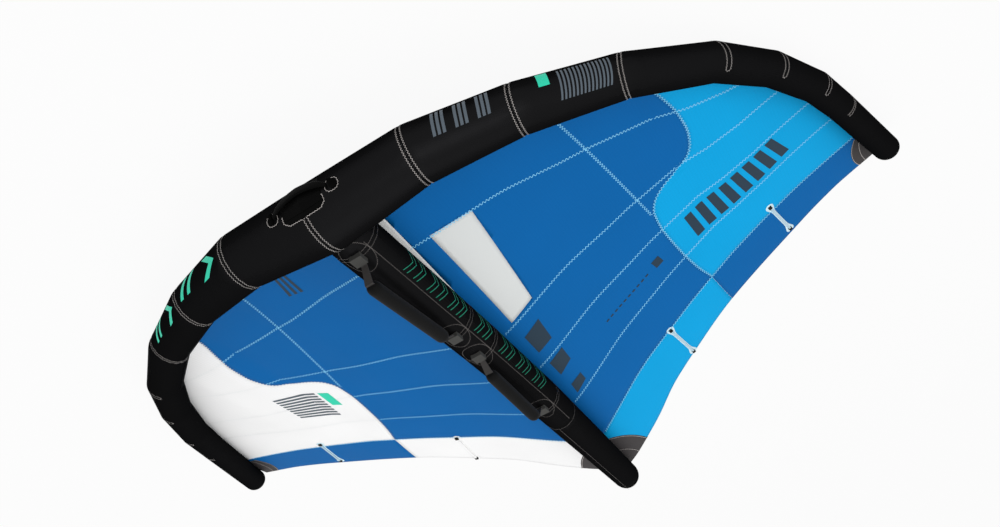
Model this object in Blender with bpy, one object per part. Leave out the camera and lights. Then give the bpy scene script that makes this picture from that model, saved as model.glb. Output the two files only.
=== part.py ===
"""Inflatable hand-held wing for wing foiling, about 3.6 square metres.

Every piece is modelled in the wing's own frame: the origin is the middle of the leading
edge, +Y runs back along the strut and +Z points away from the canopy, towards the handles.
The empty wing_frame then lays the whole wing on its back, as it is parked on a beach.
"""

import math

import bmesh
import bpy
from mathutils import Matrix, Vector

# Fits and shapes shared by all pieces
FIT_GAP = 0.0003
OVERRUN = 0.03
SHARP_ANGLE_DEG = 40.0
CORNERS = ((-1, -1), (1, -1), (1, 1), (-1, 1))

# Leading edge: one length, sweep and drop for each straight run from the middle to the tip
RUN_LENGTHS = (0.256, 0.258, 0.296, 0.285, 0.223, 0.215, 0.164, 0.354)
RUN_SWEEPS_DEG = (4.0, 19.5, 31.0, 40.5, 52.0, 61.5, 70.0, 72.0)
RUN_DROPS_DEG = (9.5, 12.5, 16.0, 15.5, 12.5, 10.0, 7.5, 6.5)
STATION_RADII = (0.0865, 0.0745, 0.0635, 0.057, 0.0535, 0.050, 0.047, 0.044, 0.042)
PANEL_SPANS = ((0, 1), (1, 2), (2, 3), (3, 8))
PANEL_NAMES = ("centre", "inner", "middle", "outer")
TUBE_SIDES = 24
CASING_WALL = 0.0025
TIP_CAP_DEPTH = 0.026
DOME_SHARES = ((0.0, 1.0), (0.45, 0.97), (0.8, 0.86), (1.0, 0.62))

# Bladders: thin tubes that fill the casings, drawn in to an open neck at each end
BLADDER_CLEARANCE = 0.0006
BLADDER_WALL = 0.001
BLADDER_SIDES = 12
BLADDER_NECK_SHARE = 0.25
BLADDER_NECK_LENGTH = 0.006

# Strut: place along the wing, height of its axis and radius at each seam
STRUT_SEAMS = (0.035, 0.12, 0.567, 0.707, 1.12, 1.25, 1.50, 1.81)
STRUT_HEIGHTS = (-0.016, -0.0244, -0.0358, -0.039, -0.040, -0.0348, -0.0243, -0.0086)
STRUT_RADII = (0.0545, 0.0648, 0.0643, 0.0639, 0.0606, 0.0588, 0.0552, 0.0502)
STRUT_PANEL_SPANS = ((0, 2), (2, 3), (3, 4), (4, 5), (5, 7))
STRUT_CAP_DEPTH = 0.040

# Canopy: it reaches past the strut's cap, and its outline is in shares of the half span and centre chord
TAIL_REACH = 0.016
CENTRE_CHORD = STRUT_SEAMS[-1] + STRUT_CAP_DEPTH + TAIL_REACH
TRAILING_SHARES = (
    (0.0, 1.0), (0.1, 0.949), (0.175, 0.914), (0.266, 0.8615), (0.35, 0.8245),
    (0.5, 0.7695), (0.716, 0.7255), (0.81, 0.7105), (0.88, 0.7045), (1.0, 0.7035),
)
STRIP_SHARES = (
    (0.0, 0.862), (0.1, 0.807), (0.205, 0.7615), (0.35, 0.7135), (0.485, 0.6765),
    (0.675, 0.638), (0.79, 0.6275), (0.94, 0.624), (1.0, 0.623),
)
# Outboard edge of the main panel: chord share and half-span share, an S and then a straight line
TIP_SEAM_SHARES = (
    (0.0, 0.548), (0.1, 0.568), (0.18, 0.588), (0.26, 0.600), (0.33, 0.602), (0.4, 0.595),
    (0.46, 0.578), (0.51, 0.538), (0.54, 0.492), (0.57, 0.465), (0.61, 0.451), (0.67, 0.448),
    (0.79, 0.456), (0.91, 0.471), (1.0, 0.489),
)
STRIP_SPLIT_SHARES = (0.488, 0.503)
CAMBER_SHARES = ((0.0, 0.047), (0.41, 0.063), (0.55, 0.055), (0.62, 0.028), (0.7, 0.012), (1.0, 0.01))
CAMBER_FRONT_POWER = 0.5
CAMBER_REAR_POWER = 1.5
STRUT_BLEND_SHARE = 0.26
NOSE_FADE_SHARE = 0.05
TIP_DROP_SHARE = 0.289
ROW_SPACING_SHARE = 0.02
MAIN_COLUMNS = (3, 3, 3)
TIP_COLUMNS = (2, 2, 1, 1, 1)
STRIP_ROWS = 3
CLOTH_THICKNESS = 0.0015
ATTACH_SIDE = 4
TIP_END_SHARE = 0.956
STRIP_CORNER_SHARE = 0.9592
STRIP_END_SHARE = 0.981

# Windows, on the left half only: corners as half-span and chord shares
WINDOW_SIDE = -1
WIDE_WINDOW_SHARES = ((0.0725, 0.1775), (0.16, 0.2), (0.129, 0.4235), (0.0605, 0.435))
NARROW_WINDOW_SHARES = ((0.009, 0.075), (0.0425, 0.075), (0.0245, 0.32), (0.009, 0.32))
WINDOW_CELLS = (2, 6)

# Battens across the trailing strip: front and rear ends
BATTEN_END_SHARES = (((0.3295, 0.719), (0.347, 0.8225)), ((0.6872, 0.621), (0.7135, 0.7165)))
SLEEVE_WIDTH = 0.007
SLEEVE_HEIGHT = 0.005
SLEEVE_WALL = 0.001
BATTEN_BLOCK_LENGTH = 0.012
BATTEN_BLOCK_WIDTH = 0.012
BATTEN_FIT = 0.0004
BATTEN_STEPS = 8

# Reinforcement patches on the strut side of the cloth
PATCH_THICKNESS = 0.0012
PATCH_LIFT = 0.0008
TIP_PATCH_SHARES = (0.9205, 0.956, 0.9592, 0.973)
TIP_PATCH_MARGIN = 0.008
TAIL_PATCH_SHARES = ((0.018, 0.872), (0.066, 0.886), (0.1, 0.931), (0.018, 0.984))
TAIL_PATCH_CELLS = (3, 4)

# Handles on the strut: anchor places, grip ends and how high they stand above the strut
ANCHOR_PLACES = ((0.126, 0.560), (0.687, 1.092))
ANCHOR_LENGTH = 0.032
ANCHOR_WIDTH = 0.032
ANCHOR_HEIGHT = 0.012
ANCHOR_SINK = 0.010
GRIP_ENDS = ((0.158, 0.503), (0.733, 1.020))
GRIP_HEIGHTS = ((0.062, 0.038), (0.036, 0.065))
GRIP_INSET = 0.006
GRIP_RADIUS = 0.019
GRIP_SIDES = 20
GRIP_PROFILE_SHARES = ((0.0, 0.70), (0.012, 0.90), (0.04, 1.0), (0.96, 1.0), (0.988, 0.90), (1.0, 0.70))
WEBBING_THICKNESS = 0.003
WEBBING_WIDTH = 0.022
WEBBING_FOOT_WIDTH = 0.016
WEBBING_FOOT_LENGTH = 0.007
PIVOT_HEIGHT = 0.0085

# Strap handle across the front of the leading edge, hanging against it from two tabs
FRONT_HANDLE_HALF = 0.074
FRONT_HANDLE_TAB = 0.022
FRONT_HANDLE_TAB_WIDTH = 0.026
FRONT_HANDLE_ANGLE_DEG = 16.0
FRONT_HANDLE_MIDDLE_ANGLE_DEG = -5.0
FRONT_HANDLE_MIDDLE_HEIGHT = 0.0064
FRONT_HANDLE_THICKNESS = 0.008
FRONT_HANDLE_WIDTH = 0.026
FRONT_HANDLE_FOOT_THICKNESS = 0.005
FRONT_HANDLE_FOOT_WIDTH = 0.012
FRONT_HANDLE_PIVOT = 0.0075
ARCH_SHARES = ((1.0, 0.0), (0.92, 0.14), (0.8, 0.40), (0.6, 0.66), (0.3, 0.90), (0.0, 1.0))
PAD_HALF_LENGTH = 0.050
PAD_FIRST_SIDE = 11
PAD_LAST_SIDE = 14
PAD_THICKNESS = 0.0012

# Inflation valve on the rear of the leading edge
VALVE_PLACE = 0.17
VALVE_SIDE_ANGLE_DEG = 15.0
VALVE_RADIUS = 0.021
VALVE_NECK_RADIUS = 0.0165
VALVE_BORE = 0.0105
VALVE_MOUTH = 0.0080
VALVE_LEDGE_HEIGHT = 0.0035
VALVE_HEIGHT = 0.007
VALVE_SINK = 0.008
VALVE_SIDES = 32
CAP_THICKNESS = 0.003
CAP_PLUG_DEPTH = 0.0025
CAP_PLUG_FIT = 0.0010
CAP_EAR_WIDTH = 0.008
CAP_EAR_REACH = 0.004
PLUNGER_RADIUS = 0.0100
PLUNGER_STEM_RADIUS = 0.003
PLUNGER_DISC_HEIGHT = 0.0015
PLUNGER_STEM_HEIGHT = 0.0008

# Air hose from the leading edge to the strut, and its pinch clip
HOSE_RADIUS = 0.007
HOSE_WALL = 0.0015
HOSE_HEIGHT = -0.064
HOSE_PLACE = 0.105
HOSE_REACH = 0.038
HOSE_STRUT_PLACE = 0.140
HOSE_POINTS = 9
HOSE_SIDES = 12
CLIP_LENGTH = 0.010
CLIP_WALL = 0.003
LEVER_LENGTH = 0.018
LEVER_THICKNESS = 0.003

# Flat that the laid-down wing rests on, cut into the outer panels
REST_FLAT_DEPTH = 0.001
REST_RUN = (5, 6)

COLOURS = {
    "leading_edge_fabric": ((0.014, 0.014, 0.014), 0.55),
    "strut_fabric": ((0.008, 0.008, 0.008), 0.5),
    "bladder_film": ((0.75, 0.78, 0.80), 0.3),
    "blue_cloth": ((0.010, 0.140, 0.400), 0.6),
    "light_blue_cloth": ((0.003, 0.380, 0.760), 0.6),
    "white_cloth": ((0.90, 0.90, 0.90), 0.6),
    "window_film": ((0.70, 0.72, 0.70), 0.3),
    "white_webbing": ((0.80, 0.82, 0.84), 0.7),
    "black_plastic": ((0.010, 0.010, 0.010), 0.4),
    "grey_patch": ((0.070, 0.068, 0.068), 0.8),
    "grey_webbing": ((0.080, 0.080, 0.078), 0.8),
    "black_foam": ((0.010, 0.010, 0.010), 0.7),
    "grey_rubber": ((0.10, 0.10, 0.10), 0.5),
}


def clear_scene():
    for obj in list(bpy.data.objects):
        bpy.data.objects.remove(obj)


clear_scene()
parts = bpy.data.collections.new("wingfoil_wing")
cutters = bpy.data.collections.new("cutters")
cutters.hide_render = True
for group in (parts, cutters):
    bpy.context.scene.collection.children.link(group)
wing_frame = bpy.data.objects.new("wing_frame", None)
parts.objects.link(wing_frame)


def material(name):
    made = bpy.data.materials.get(name)
    if made is None:
        colour, roughness = COLOURS[name]
        made = bpy.data.materials.new(name)
        made.use_nodes = True
        shader = made.node_tree.nodes["Principled BSDF"]
        shader.inputs["Base Color"].default_value = (*colour, 1.0)
        shader.inputs["Roughness"].default_value = roughness
    return made


def pivot(name, place):
    """An empty on a joint's axis, which carries the pieces that turn with it."""
    empty = bpy.data.objects.new(name, None)
    parts.objects.link(empty)
    empty.parent = wing_frame
    empty.location = place
    return empty


def add_piece(name, bm, material_name, carrier=None, smooth=False):
    bmesh.ops.recalc_face_normals(bm, faces=bm.faces)
    mesh = bpy.data.meshes.new(name)
    bm.to_mesh(mesh)
    bm.free()
    carrier = carrier or wing_frame
    if carrier is not wing_frame:
        mesh.transform(Matrix.Translation(-carrier.location))
    if smooth:
        mesh.shade_smooth()
        mesh.set_sharp_from_angle(angle=math.radians(SHARP_ANGLE_DEG))
    obj = bpy.data.objects.new(name, mesh)
    obj.data.materials.append(material(material_name))
    parts.objects.link(obj)
    obj.parent = carrier
    return obj


def add_cutter(name, bm):
    bmesh.ops.recalc_face_normals(bm, faces=bm.faces)
    mesh = bpy.data.meshes.new(name)
    bm.to_mesh(mesh)
    bm.free()
    obj = bpy.data.objects.new(name, mesh)
    obj.hide_render = True
    obj.display_type = "WIRE"
    cutters.objects.link(obj)
    obj.parent = wing_frame
    return obj


def boolean(obj, cutter, operation="DIFFERENCE"):
    modifier = obj.modifiers.new(cutter.name, "BOOLEAN")
    modifier.operation = operation
    modifier.object = cutter


def mirrored(points, side):
    return [Vector((side * point.x, point.y, point.z)) for point in points]


def bridge(bm, first, second):
    for i in range(len(first)):
        k = (i + 1) % len(first)
        bm.faces.new((first[i], first[k], second[k], second[i]))


def skin(bm, sections):
    rings = [[bm.verts.new(point) for point in section] for section in sections]
    for first, second in zip(rings, rings[1:]):
        bridge(bm, first, second)
    return rings


def solid_loft(sections):
    """A closed body through the sections, with a face over each end."""
    bm = bmesh.new()
    rings = skin(bm, sections)
    bm.faces.new(rings[0])
    bm.faces.new(rings[-1])
    return bm


def shell_loft(outer, inner, closed_end=False):
    """A tube wall between two sets of sections, open at both ends or closed at the last one."""
    bm = bmesh.new()
    outside = skin(bm, outer)
    inside = skin(bm, inner)
    bridge(bm, outside[0], inside[0])
    if closed_end:
        bm.faces.new(outside[-1])
        bm.faces.new(inside[-1])
    else:
        bridge(bm, outside[-1], inside[-1])
    return bm


def interpolate(table, value):
    """Straight-line value between the points of a table, held level past its ends."""
    if value <= table[0][0]:
        return table[0][1]
    for (x0, y0), (x1, y1) in zip(table, table[1:]):
        if value <= x1:
            return y0 + (y1 - y0) * (value - x0) / (x1 - x0)
    return table[-1][1]


# Leading edge tube

def run_direction(sweep_deg, drop_deg):
    sweep = math.radians(sweep_deg)
    drop = math.radians(drop_deg)
    return Vector((math.cos(drop) * math.cos(sweep), math.cos(drop) * math.sin(sweep), -math.sin(drop)))


directions = [run_direction(sweep, drop) for sweep, drop in zip(RUN_SWEEPS_DEG, RUN_DROPS_DEG)]
stations = [Vector((0.0, 0.0, 0.0))]
for length, direction in zip(RUN_LENGTHS, directions):
    stations.append(stations[-1] + length * direction)
HALF_SPAN = stations[-1].x


def ring_axis(index):
    if index == 0:
        return Vector((1.0, 0.0, 0.0))
    if index == len(directions):
        return directions[-1]
    return (directions[index - 1] + directions[index]).normalized()


def ring_frame(axis):
    """Directions to the back and to the canopy side, square to the tube's axis."""
    down = Vector((0.0, 0.0, -1.0))
    down = (down - axis * down.dot(axis)).normalized()
    return axis.cross(down), down


def ring(centre, axis, radius, sides=TUBE_SIDES):
    back, down = ring_frame(axis)
    turns = [2 * math.pi * i / sides for i in range(sides)]
    return [centre + radius * (math.cos(turn) * back + math.sin(turn) * down) for turn in turns]


def tube_sections(first, last, thinner=0.0, trim=0.0, sides=TUBE_SIDES):
    sections = []
    for index in range(first, last + 1):
        centre = stations[index].copy()
        if index == first:
            centre += directions[index] * trim
        if index == last:
            centre -= directions[index - 1] * trim
        sections.append(ring(centre, ring_axis(index), STATION_RADII[index] - thinner, sides))
    return sections


def dome_sections(base, axis, radius, depth, sides=TUBE_SIDES):
    return [ring(base + axis * depth * along, axis, radius * share, sides) for along, share in DOME_SHARES]


def both_sides(sections):
    """Sections from the left tip to the right tip, with the middle one shared."""
    left = [[Vector((-p.x, p.y, p.z)) for p in section] for section in reversed(sections[1:])]
    return left + sections


def make_leading_edge():
    outer_panels = []
    for side, side_name in ((1, "right"), (-1, "left")):
        for (first, last), place in zip(PANEL_SPANS, PANEL_NAMES):
            outer = tube_sections(first, last, trim=FIT_GAP / 2)
            inner = tube_sections(first, last, thinner=CASING_WALL, trim=FIT_GAP / 2)
            bm = shell_loft([mirrored(s, side) for s in outer], [mirrored(s, side) for s in inner])
            panel = add_piece(f"leading_edge_{place}_{side_name}", bm, "leading_edge_fabric", smooth=True)
            if place == "outer":
                outer_panels.append(panel)
        base = stations[-1] + directions[-1] * FIT_GAP / 2
        outer = dome_sections(base, directions[-1], STATION_RADII[-1], TIP_CAP_DEPTH)
        inner_radius = STATION_RADII[-1] - CASING_WALL
        inner = dome_sections(base, directions[-1], inner_radius, TIP_CAP_DEPTH - CASING_WALL)
        outer = [mirrored(section, side) for section in outer]
        inner = [mirrored(section, side) for section in inner]
        bm = shell_loft(outer, inner, closed_end=True)
        add_piece(f"leading_edge_tip_cap_{side_name}", bm, "leading_edge_fabric", smooth=True)
    return outer_panels


def bladder_half(thinner):
    sections = tube_sections(0, len(directions), thinner=thinner, sides=BLADDER_SIDES)
    end = stations[-1] + directions[-1] * BLADDER_NECK_LENGTH
    neck = (STATION_RADII[-1] - CASING_WALL) * BLADDER_NECK_SHARE - (thinner - CASING_WALL)
    return sections + [ring(end, directions[-1], neck, BLADDER_SIDES)]


def make_leading_edge_bladder():
    outside = CASING_WALL + BLADDER_CLEARANCE
    outer = both_sides(bladder_half(outside))
    inner = both_sides(bladder_half(outside + BLADDER_WALL))
    add_piece("leading_edge_bladder", shell_loft(outer, inner), "bladder_film", smooth=True)


# Strut

strut_line = [Vector((0.0, y, z)) for y, z in zip(STRUT_SEAMS, STRUT_HEIGHTS)]


def strut_axis(index):
    before = strut_line[max(index - 1, 0)]
    after = strut_line[min(index + 1, len(strut_line) - 1)]
    return (after - before).normalized()


def strut_ring(index, thinner=0.0, shift=0.0, sides=TUBE_SIDES):
    axis = strut_axis(index)
    across = Vector((1.0, 0.0, 0.0))
    up = across.cross(axis)
    centre = strut_line[index] + axis * shift
    radius = STRUT_RADII[index] - thinner
    turns = [2 * math.pi * i / sides for i in range(sides)]
    return [centre + radius * (math.cos(turn) * across + math.sin(turn) * up) for turn in turns]


def strut_sections(first, last, thinner=0.0, trim=0.0, sides=TUBE_SIDES):
    shifts = {first: trim, last: -trim}
    return [strut_ring(i, thinner, shifts.get(i, 0.0), sides) for i in range(first, last + 1)]


def strut_top(y):
    """Height of the strut's handle side."""
    return interpolate([(p.y, p.z + r) for p, r in zip(strut_line, STRUT_RADII)], y)


def leading_edge_cutter():
    sections = both_sides(tube_sections(0, 1, thinner=-FIT_GAP))
    return add_cutter("leading_edge_cutter", solid_loft(sections))


def strut_cutter():
    sections = strut_sections(0, len(strut_line) - 1, thinner=-FIT_GAP)
    return add_cutter("strut_cutter", solid_loft(sections))


def make_strut(edge_cutter):
    for number, (first, last) in enumerate(STRUT_PANEL_SPANS, start=1):
        outer = strut_sections(first, last, trim=FIT_GAP / 2)
        inner = strut_sections(first, last, thinner=CASING_WALL, trim=FIT_GAP / 2)
        panel = add_piece(f"strut_panel_{number}", shell_loft(outer, inner), "strut_fabric", smooth=True)
        if first == 0:
            boolean(panel, edge_cutter)
    last = len(strut_line) - 1
    axis = strut_axis(last)
    base = strut_line[last] + axis * FIT_GAP / 2
    outer = dome_sections(base, axis, STRUT_RADII[last], STRUT_CAP_DEPTH)
    inner = dome_sections(base, axis, STRUT_RADII[last] - CASING_WALL, STRUT_CAP_DEPTH - CASING_WALL)
    add_piece("strut_end_cap", shell_loft(outer, inner, closed_end=True), "strut_fabric", smooth=True)


def make_strut_bladder():
    walls = []
    for thinner in (CASING_WALL + BLADDER_CLEARANCE, CASING_WALL + BLADDER_CLEARANCE + BLADDER_WALL):
        sections = strut_sections(1, len(strut_line) - 1, thinner=thinner, sides=BLADDER_SIDES)
        neck = (STRUT_RADII[-1] - CASING_WALL) * BLADDER_NECK_SHARE - (thinner - CASING_WALL)
        end = len(strut_line) - 1
        necked = strut_ring(end, STRUT_RADII[-1] - neck, BLADDER_NECK_LENGTH, BLADDER_SIDES)
        walls.append(sections + [necked])
    add_piece("strut_bladder", shell_loft(*walls), "bladder_film", smooth=True)


# Canopy surface

def attach_line():
    """Where the cloth's front edge lies on the leading edge, one point a station."""
    points = []
    for index, centre in enumerate(stations):
        loop = ring(centre, ring_axis(index), STATION_RADII[index] + FIT_GAP)
        points.append(loop[ATTACH_SIDE])
    return points


attach = attach_line()
attach_y = [(p.x, p.y) for p in attach]
attach_z = [(p.x, p.z) for p in attach]


def front_edge(x):
    return interpolate(attach_y, x)


def trailing_edge(x):
    return CENTRE_CHORD * interpolate(TRAILING_SHARES, x / HALF_SPAN)


def strip_seam(x):
    return max(CENTRE_CHORD * interpolate(STRIP_SHARES, x / HALF_SPAN), front_edge(x))


root_line = [(attach[0].y, attach[0].z)]
root_line += [(p.y, p.z - r - FIT_GAP) for p, r in zip(strut_line[1:], STRUT_RADII[1:])]


def cloth_height(x, y):
    """Height of the cloth's strut side at a place on the right half."""
    front = front_edge(x)
    back = trailing_edge(x)
    share = min(max((y - front) / (back - front), 0.0), 1.0)
    tail = root_line[-1][1] - TIP_DROP_SHARE * x
    nose = interpolate(attach_z, x)
    peak_share = CAMBER_FRONT_POWER / (CAMBER_FRONT_POWER + CAMBER_REAR_POWER)
    peak = peak_share**CAMBER_FRONT_POWER * (1 - peak_share) ** CAMBER_REAR_POWER
    bow = share**CAMBER_FRONT_POWER * (1 - share) ** CAMBER_REAR_POWER / peak
    camber = (back - front) * interpolate(CAMBER_SHARES, x / HALF_SPAN)
    free = nose + (tail - nose) * share - camber * bow
    fade = NOSE_FADE_SHARE * CENTRE_CHORD
    near_nose = max(0.0, (front + fade - y) / fade)
    held = interpolate(root_line, y) + (nose - interpolate(root_line, front)) * near_nose
    mix = math.sin(math.pi / 2 * min(x / (STRUT_BLEND_SHARE * HALF_SPAN), 1.0))
    return held + (free - held) * mix


def cloth(name, grid, thickness, material_name, side, lift=0.0):
    """A sheet over a grid of places on the right half, thick away from the strut side."""
    bm = bmesh.new()
    layers = []
    for level in (lift, lift - thickness):
        layer = [[bm.verts.new((side * x, y, cloth_height(x, y) + level)) for x, y in row] for row in grid]
        for lower, upper in zip(layer, layer[1:]):
            for i in range(len(lower) - 1):
                bm.faces.new((lower[i], lower[i + 1], upper[i + 1], upper[i]))
        rim = layer[0] + [row[-1] for row in layer[1:]]
        rim += layer[-1][-2::-1] + [row[0] for row in layer[-2:0:-1]]
        layers.append(rim)
    bridge(bm, *layers)
    return add_piece(name, bm, material_name)


def panel_grid(inboard, outboard, front, back, columns, rows):
    """Places between two spanwise and two chordwise edges, half a gap inside each of them."""
    grid = []
    for down in rows:
        first = inboard(down) + FIT_GAP / 2
        last = outboard(down) - FIT_GAP / 2
        line = []
        for column in columns:
            x = first + (last - first) * column
            start = front(x) + FIT_GAP / 2
            end = back(x) - FIT_GAP / 2
            line.append((x, start + (end - start) * down))
        grid.append(line)
    return grid


def even(count):
    return [i / count for i in range(count + 1)]


def edge_shares(edges):
    """Shares of a panel's width at its edges."""
    return [(place - edges[0]) / (edges[-1] - edges[0]) for place in edges]


def column_shares(edges, counts):
    """Shares of a panel's width at its edges and at even steps between them."""
    places = [edges[0]]
    for start, end, count in zip(edges, edges[1:], counts):
        places += [start + (end - start) * i / count for i in range(1, count + 1)]
    return edge_shares(places)


def panel_rows():
    """Chord shares of the seams' bends and of the strut's seams, without near repeats."""
    front = attach[0].y
    length = CENTRE_CHORD * STRIP_SHARES[0][1] - front
    rows = [(y - front) / length for y in STRUT_SEAMS[1:-1]]
    rows += [down for down, _ in TIP_SEAM_SHARES if all(abs(down - row) > ROW_SPACING_SHARE for row in rows)]
    return sorted(rows)


def tip_seam(down):
    return HALF_SPAN * interpolate(TIP_SEAM_SHARES, down)


def strip_split(down):
    start, end = STRIP_SPLIT_SHARES
    return HALF_SPAN * (start + (end - start) * down)


def inset(corners, distance):
    """The corners of an outline moved inwards, square to its edges."""
    count = len(corners)
    moved = []
    for i in range(count):
        before = Vector(corners[i - 1])
        here = Vector(corners[i])
        after = Vector(corners[(i + 1) % count])
        into = (here - before).normalized()
        out = (after - here).normalized()
        first = Vector((-into.y, into.x))
        second = Vector((-out.y, out.x))
        bend = (first + second).normalized()
        moved.append(here + bend * distance / bend.dot(first))
    return moved


def quad_grid(corners, columns, rows):
    grid = []
    for j in range(rows + 1):
        down = j / rows
        left = corners[0] + (corners[3] - corners[0]) * down
        right = corners[1] + (corners[2] - corners[1]) * down
        grid.append([tuple(left + (right - left) * i / columns) for i in range(columns + 1)])
    return grid


def placed(shares):
    return [Vector((x * HALF_SPAN, y * CENTRE_CHORD)) for x, y in shares]


def outline_cutter(name, corners, side):
    heights = [cloth_height(corner.x, corner.y) for corner in corners]
    levels = (min(heights) - OVERRUN, max(heights) + OVERRUN)
    sections = [[Vector((side * corner.x, corner.y, level)) for corner in corners] for level in levels]
    return add_cutter(name, solid_loft(sections))


def make_canopy():
    seam_end = TIP_SEAM_SHARES[0][1] * HALF_SPAN
    rows = panel_rows()
    main_columns = column_shares([0.0, stations[1].x, stations[2].x, seam_end], MAIN_COLUMNS)
    tip_edges = [seam_end] + [stations[i].x for i in (4, 5, 6, 7)] + [TIP_END_SHARE * HALF_SPAN]
    tip_columns = column_shares(tip_edges, TIP_COLUMNS)
    seam_start = TIP_SEAM_SHARES[-1][1] * HALF_SPAN
    tip_width = TIP_END_SHARE * HALF_SPAN - seam_start
    strip_places = [seam_start + tip_width * share for share in tip_columns]
    strip_places += [STRIP_CORNER_SHARE * HALF_SPAN, STRIP_END_SHARE * HALF_SPAN]
    strip_columns = edge_shares(strip_places)

    def tip_end(down):
        return TIP_END_SHARE * HALF_SPAN

    def strip_end(down):
        return STRIP_END_SHARE * HALF_SPAN

    for side, side_name in ((1, "right"), (-1, "left")):
        accent = "white_cloth" if side > 0 else "light_blue_cloth"
        grid = panel_grid(lambda down: 0.0, tip_seam, front_edge, strip_seam, main_columns, rows)
        main = cloth(f"canopy_main_{side_name}", grid, CLOTH_THICKNESS, "blue_cloth", side)
        if side == WINDOW_SIDE:
            for window, shares in (("wide", WIDE_WINDOW_SHARES), ("narrow", NARROW_WINDOW_SHARES)):
                corners = placed(shares)
                boolean(main, outline_cutter(f"{window}_window_cutter_{side_name}", corners, side))
                pane = quad_grid(inset(corners, FIT_GAP), *WINDOW_CELLS)
                cloth(f"window_{window}_{side_name}", pane, CLOTH_THICKNESS, "window_film", side)
        grid = panel_grid(tip_seam, tip_end, front_edge, strip_seam, tip_columns, rows)
        cloth(f"canopy_tip_{side_name}", grid, CLOTH_THICKNESS, accent, side)
        down_rows = even(STRIP_ROWS)
        grid = panel_grid(lambda down: 0.0, strip_split, strip_seam, trailing_edge, main_columns, down_rows)
        cloth(f"trailing_strip_inner_{side_name}", grid, CLOTH_THICKNESS, accent, side)
        grid = panel_grid(strip_split, strip_end, strip_seam, trailing_edge, strip_columns, down_rows)
        cloth(f"trailing_strip_outer_{side_name}", grid, CLOTH_THICKNESS, "blue_cloth", side)


def make_patches():
    for side, side_name in ((1, "right"), (-1, "left")):
        places = [share * HALF_SPAN for share in TIP_PATCH_SHARES]
        grid = panel_grid(
            lambda down: places[0],
            lambda down: places[-1],
            lambda x: strip_seam(x) + TIP_PATCH_MARGIN,
            lambda x: trailing_edge(x) - TIP_PATCH_MARGIN / 2,
            edge_shares(places),
            even(STRIP_ROWS),
        )
        lift = PATCH_LIFT + PATCH_THICKNESS
        cloth(f"tip_patch_{side_name}", grid, PATCH_THICKNESS, "grey_patch", side, lift)
        grid = quad_grid(placed(TAIL_PATCH_SHARES), *TAIL_PATCH_CELLS)
        cloth(f"tail_patch_{side_name}", grid, PATCH_THICKNESS, "grey_patch", side, lift)


# Battens and their sleeves

def box(bm, size, centre=(0.0, 0.0, 0.0)):
    made = bmesh.ops.create_cube(bm, size=1.0)
    bmesh.ops.scale(bm, vec=size, verts=made["verts"])
    bmesh.ops.translate(bm, vec=centre, verts=made["verts"])


def bar_frame(front, back, side):
    """Matrix of a straight bar that lies just clear of the cloth, from one place to another."""
    ends = [Vector((x, y, cloth_height(x, y))) for x, y in (front, back)]
    along = (ends[1] - ends[0]).normalized()
    beside = front[0] + BATTEN_BLOCK_WIDTH / 2
    edge = Vector((beside, front[1], cloth_height(beside, front[1])))
    up = (edge - ends[0]).cross(along).normalized()
    across = along.cross(up)
    highest = 0.0
    for share in even(BATTEN_STEPS):
        middle = ends[0] + (ends[1] - ends[0]) * share
        for offset in (-0.5, 0.0, 0.5):
            spot = middle + across * BATTEN_BLOCK_WIDTH * offset
            highest = max(highest, cloth_height(spot.x, spot.y) - spot.z)
    origin = ends[0] + up * (highest + FIT_GAP * 2)
    frame = Matrix((across, along, up)).transposed().to_4x4()
    frame.translation = origin
    return Matrix.Scale(side, 4, Vector((1.0, 0.0, 0.0))) @ frame, (ends[1] - ends[0]).length


def make_battens():
    for side, side_name in ((1, "right"), (-1, "left")):
        for place, ends in zip(("inner", "outer"), BATTEN_END_SHARES):
            front, back = placed(ends)
            frame, length = bar_frame(front, back, side)
            middle = (0.0, length / 2, SLEEVE_HEIGHT / 2)
            free = length - 2 * (BATTEN_BLOCK_LENGTH + FIT_GAP)
            outer = (SLEEVE_WIDTH, SLEEVE_HEIGHT)
            hole = (SLEEVE_WIDTH - 2 * SLEEVE_WALL, SLEEVE_HEIGHT - 2 * SLEEVE_WALL)
            sections = []
            for wide, high in (outer, hole):
                rows = []
                for end in (-free / 2, free / 2):
                    row = [Vector((a * wide / 2, end, b * high / 2)) for a, b in CORNERS]
                    rows.append([frame @ (point + Vector(middle)) for point in row])
                sections.append(rows)
            add_piece(f"batten_sleeve_{place}_{side_name}", shell_loft(*sections), "white_webbing")
            rod = (hole[0] - 2 * BATTEN_FIT, hole[1] - 2 * BATTEN_FIT)
            block = (BATTEN_BLOCK_WIDTH, SLEEVE_HEIGHT)
            profile = (
                (0.0, block), (BATTEN_BLOCK_LENGTH, block), (BATTEN_BLOCK_LENGTH, rod),
                (length - BATTEN_BLOCK_LENGTH, rod), (length - BATTEN_BLOCK_LENGTH, block), (length, block),
            )
            rows = []
            for along, (wide, high) in profile:
                row = [Vector((a * wide / 2, along, SLEEVE_HEIGHT / 2 + b * high / 2)) for a, b in CORNERS]
                rows.append([frame @ point for point in row])
            add_piece(f"batten_{place}_{side_name}", solid_loft(rows), "black_plastic")


# Handles on the strut

def strap(stops):
    """A flat band through stops of place, across, thickness direction, width and thickness."""
    rows = []
    for place, across, through, width, thickness in stops:
        rows.append([place + across * a * width / 2 + through * b * thickness / 2 for a, b in CORNERS])
    return solid_loft(rows)


def band_stops(path, across, widths, thickness):
    """Stops along a bent path, each with its mitre at the bend."""
    stops = []
    for i, place in enumerate(path):
        into = (place - path[max(i - 1, 0)]).normalized() if i else None
        out = (path[i + 1] - place).normalized() if i + 1 < len(path) else None
        into = into or out
        out = out or into
        first = across.cross(into)
        second = across.cross(out)
        through = (first + second).normalized()
        stops.append((place, across, through, widths[i], thickness / through.dot(first)))
    return stops


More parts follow.
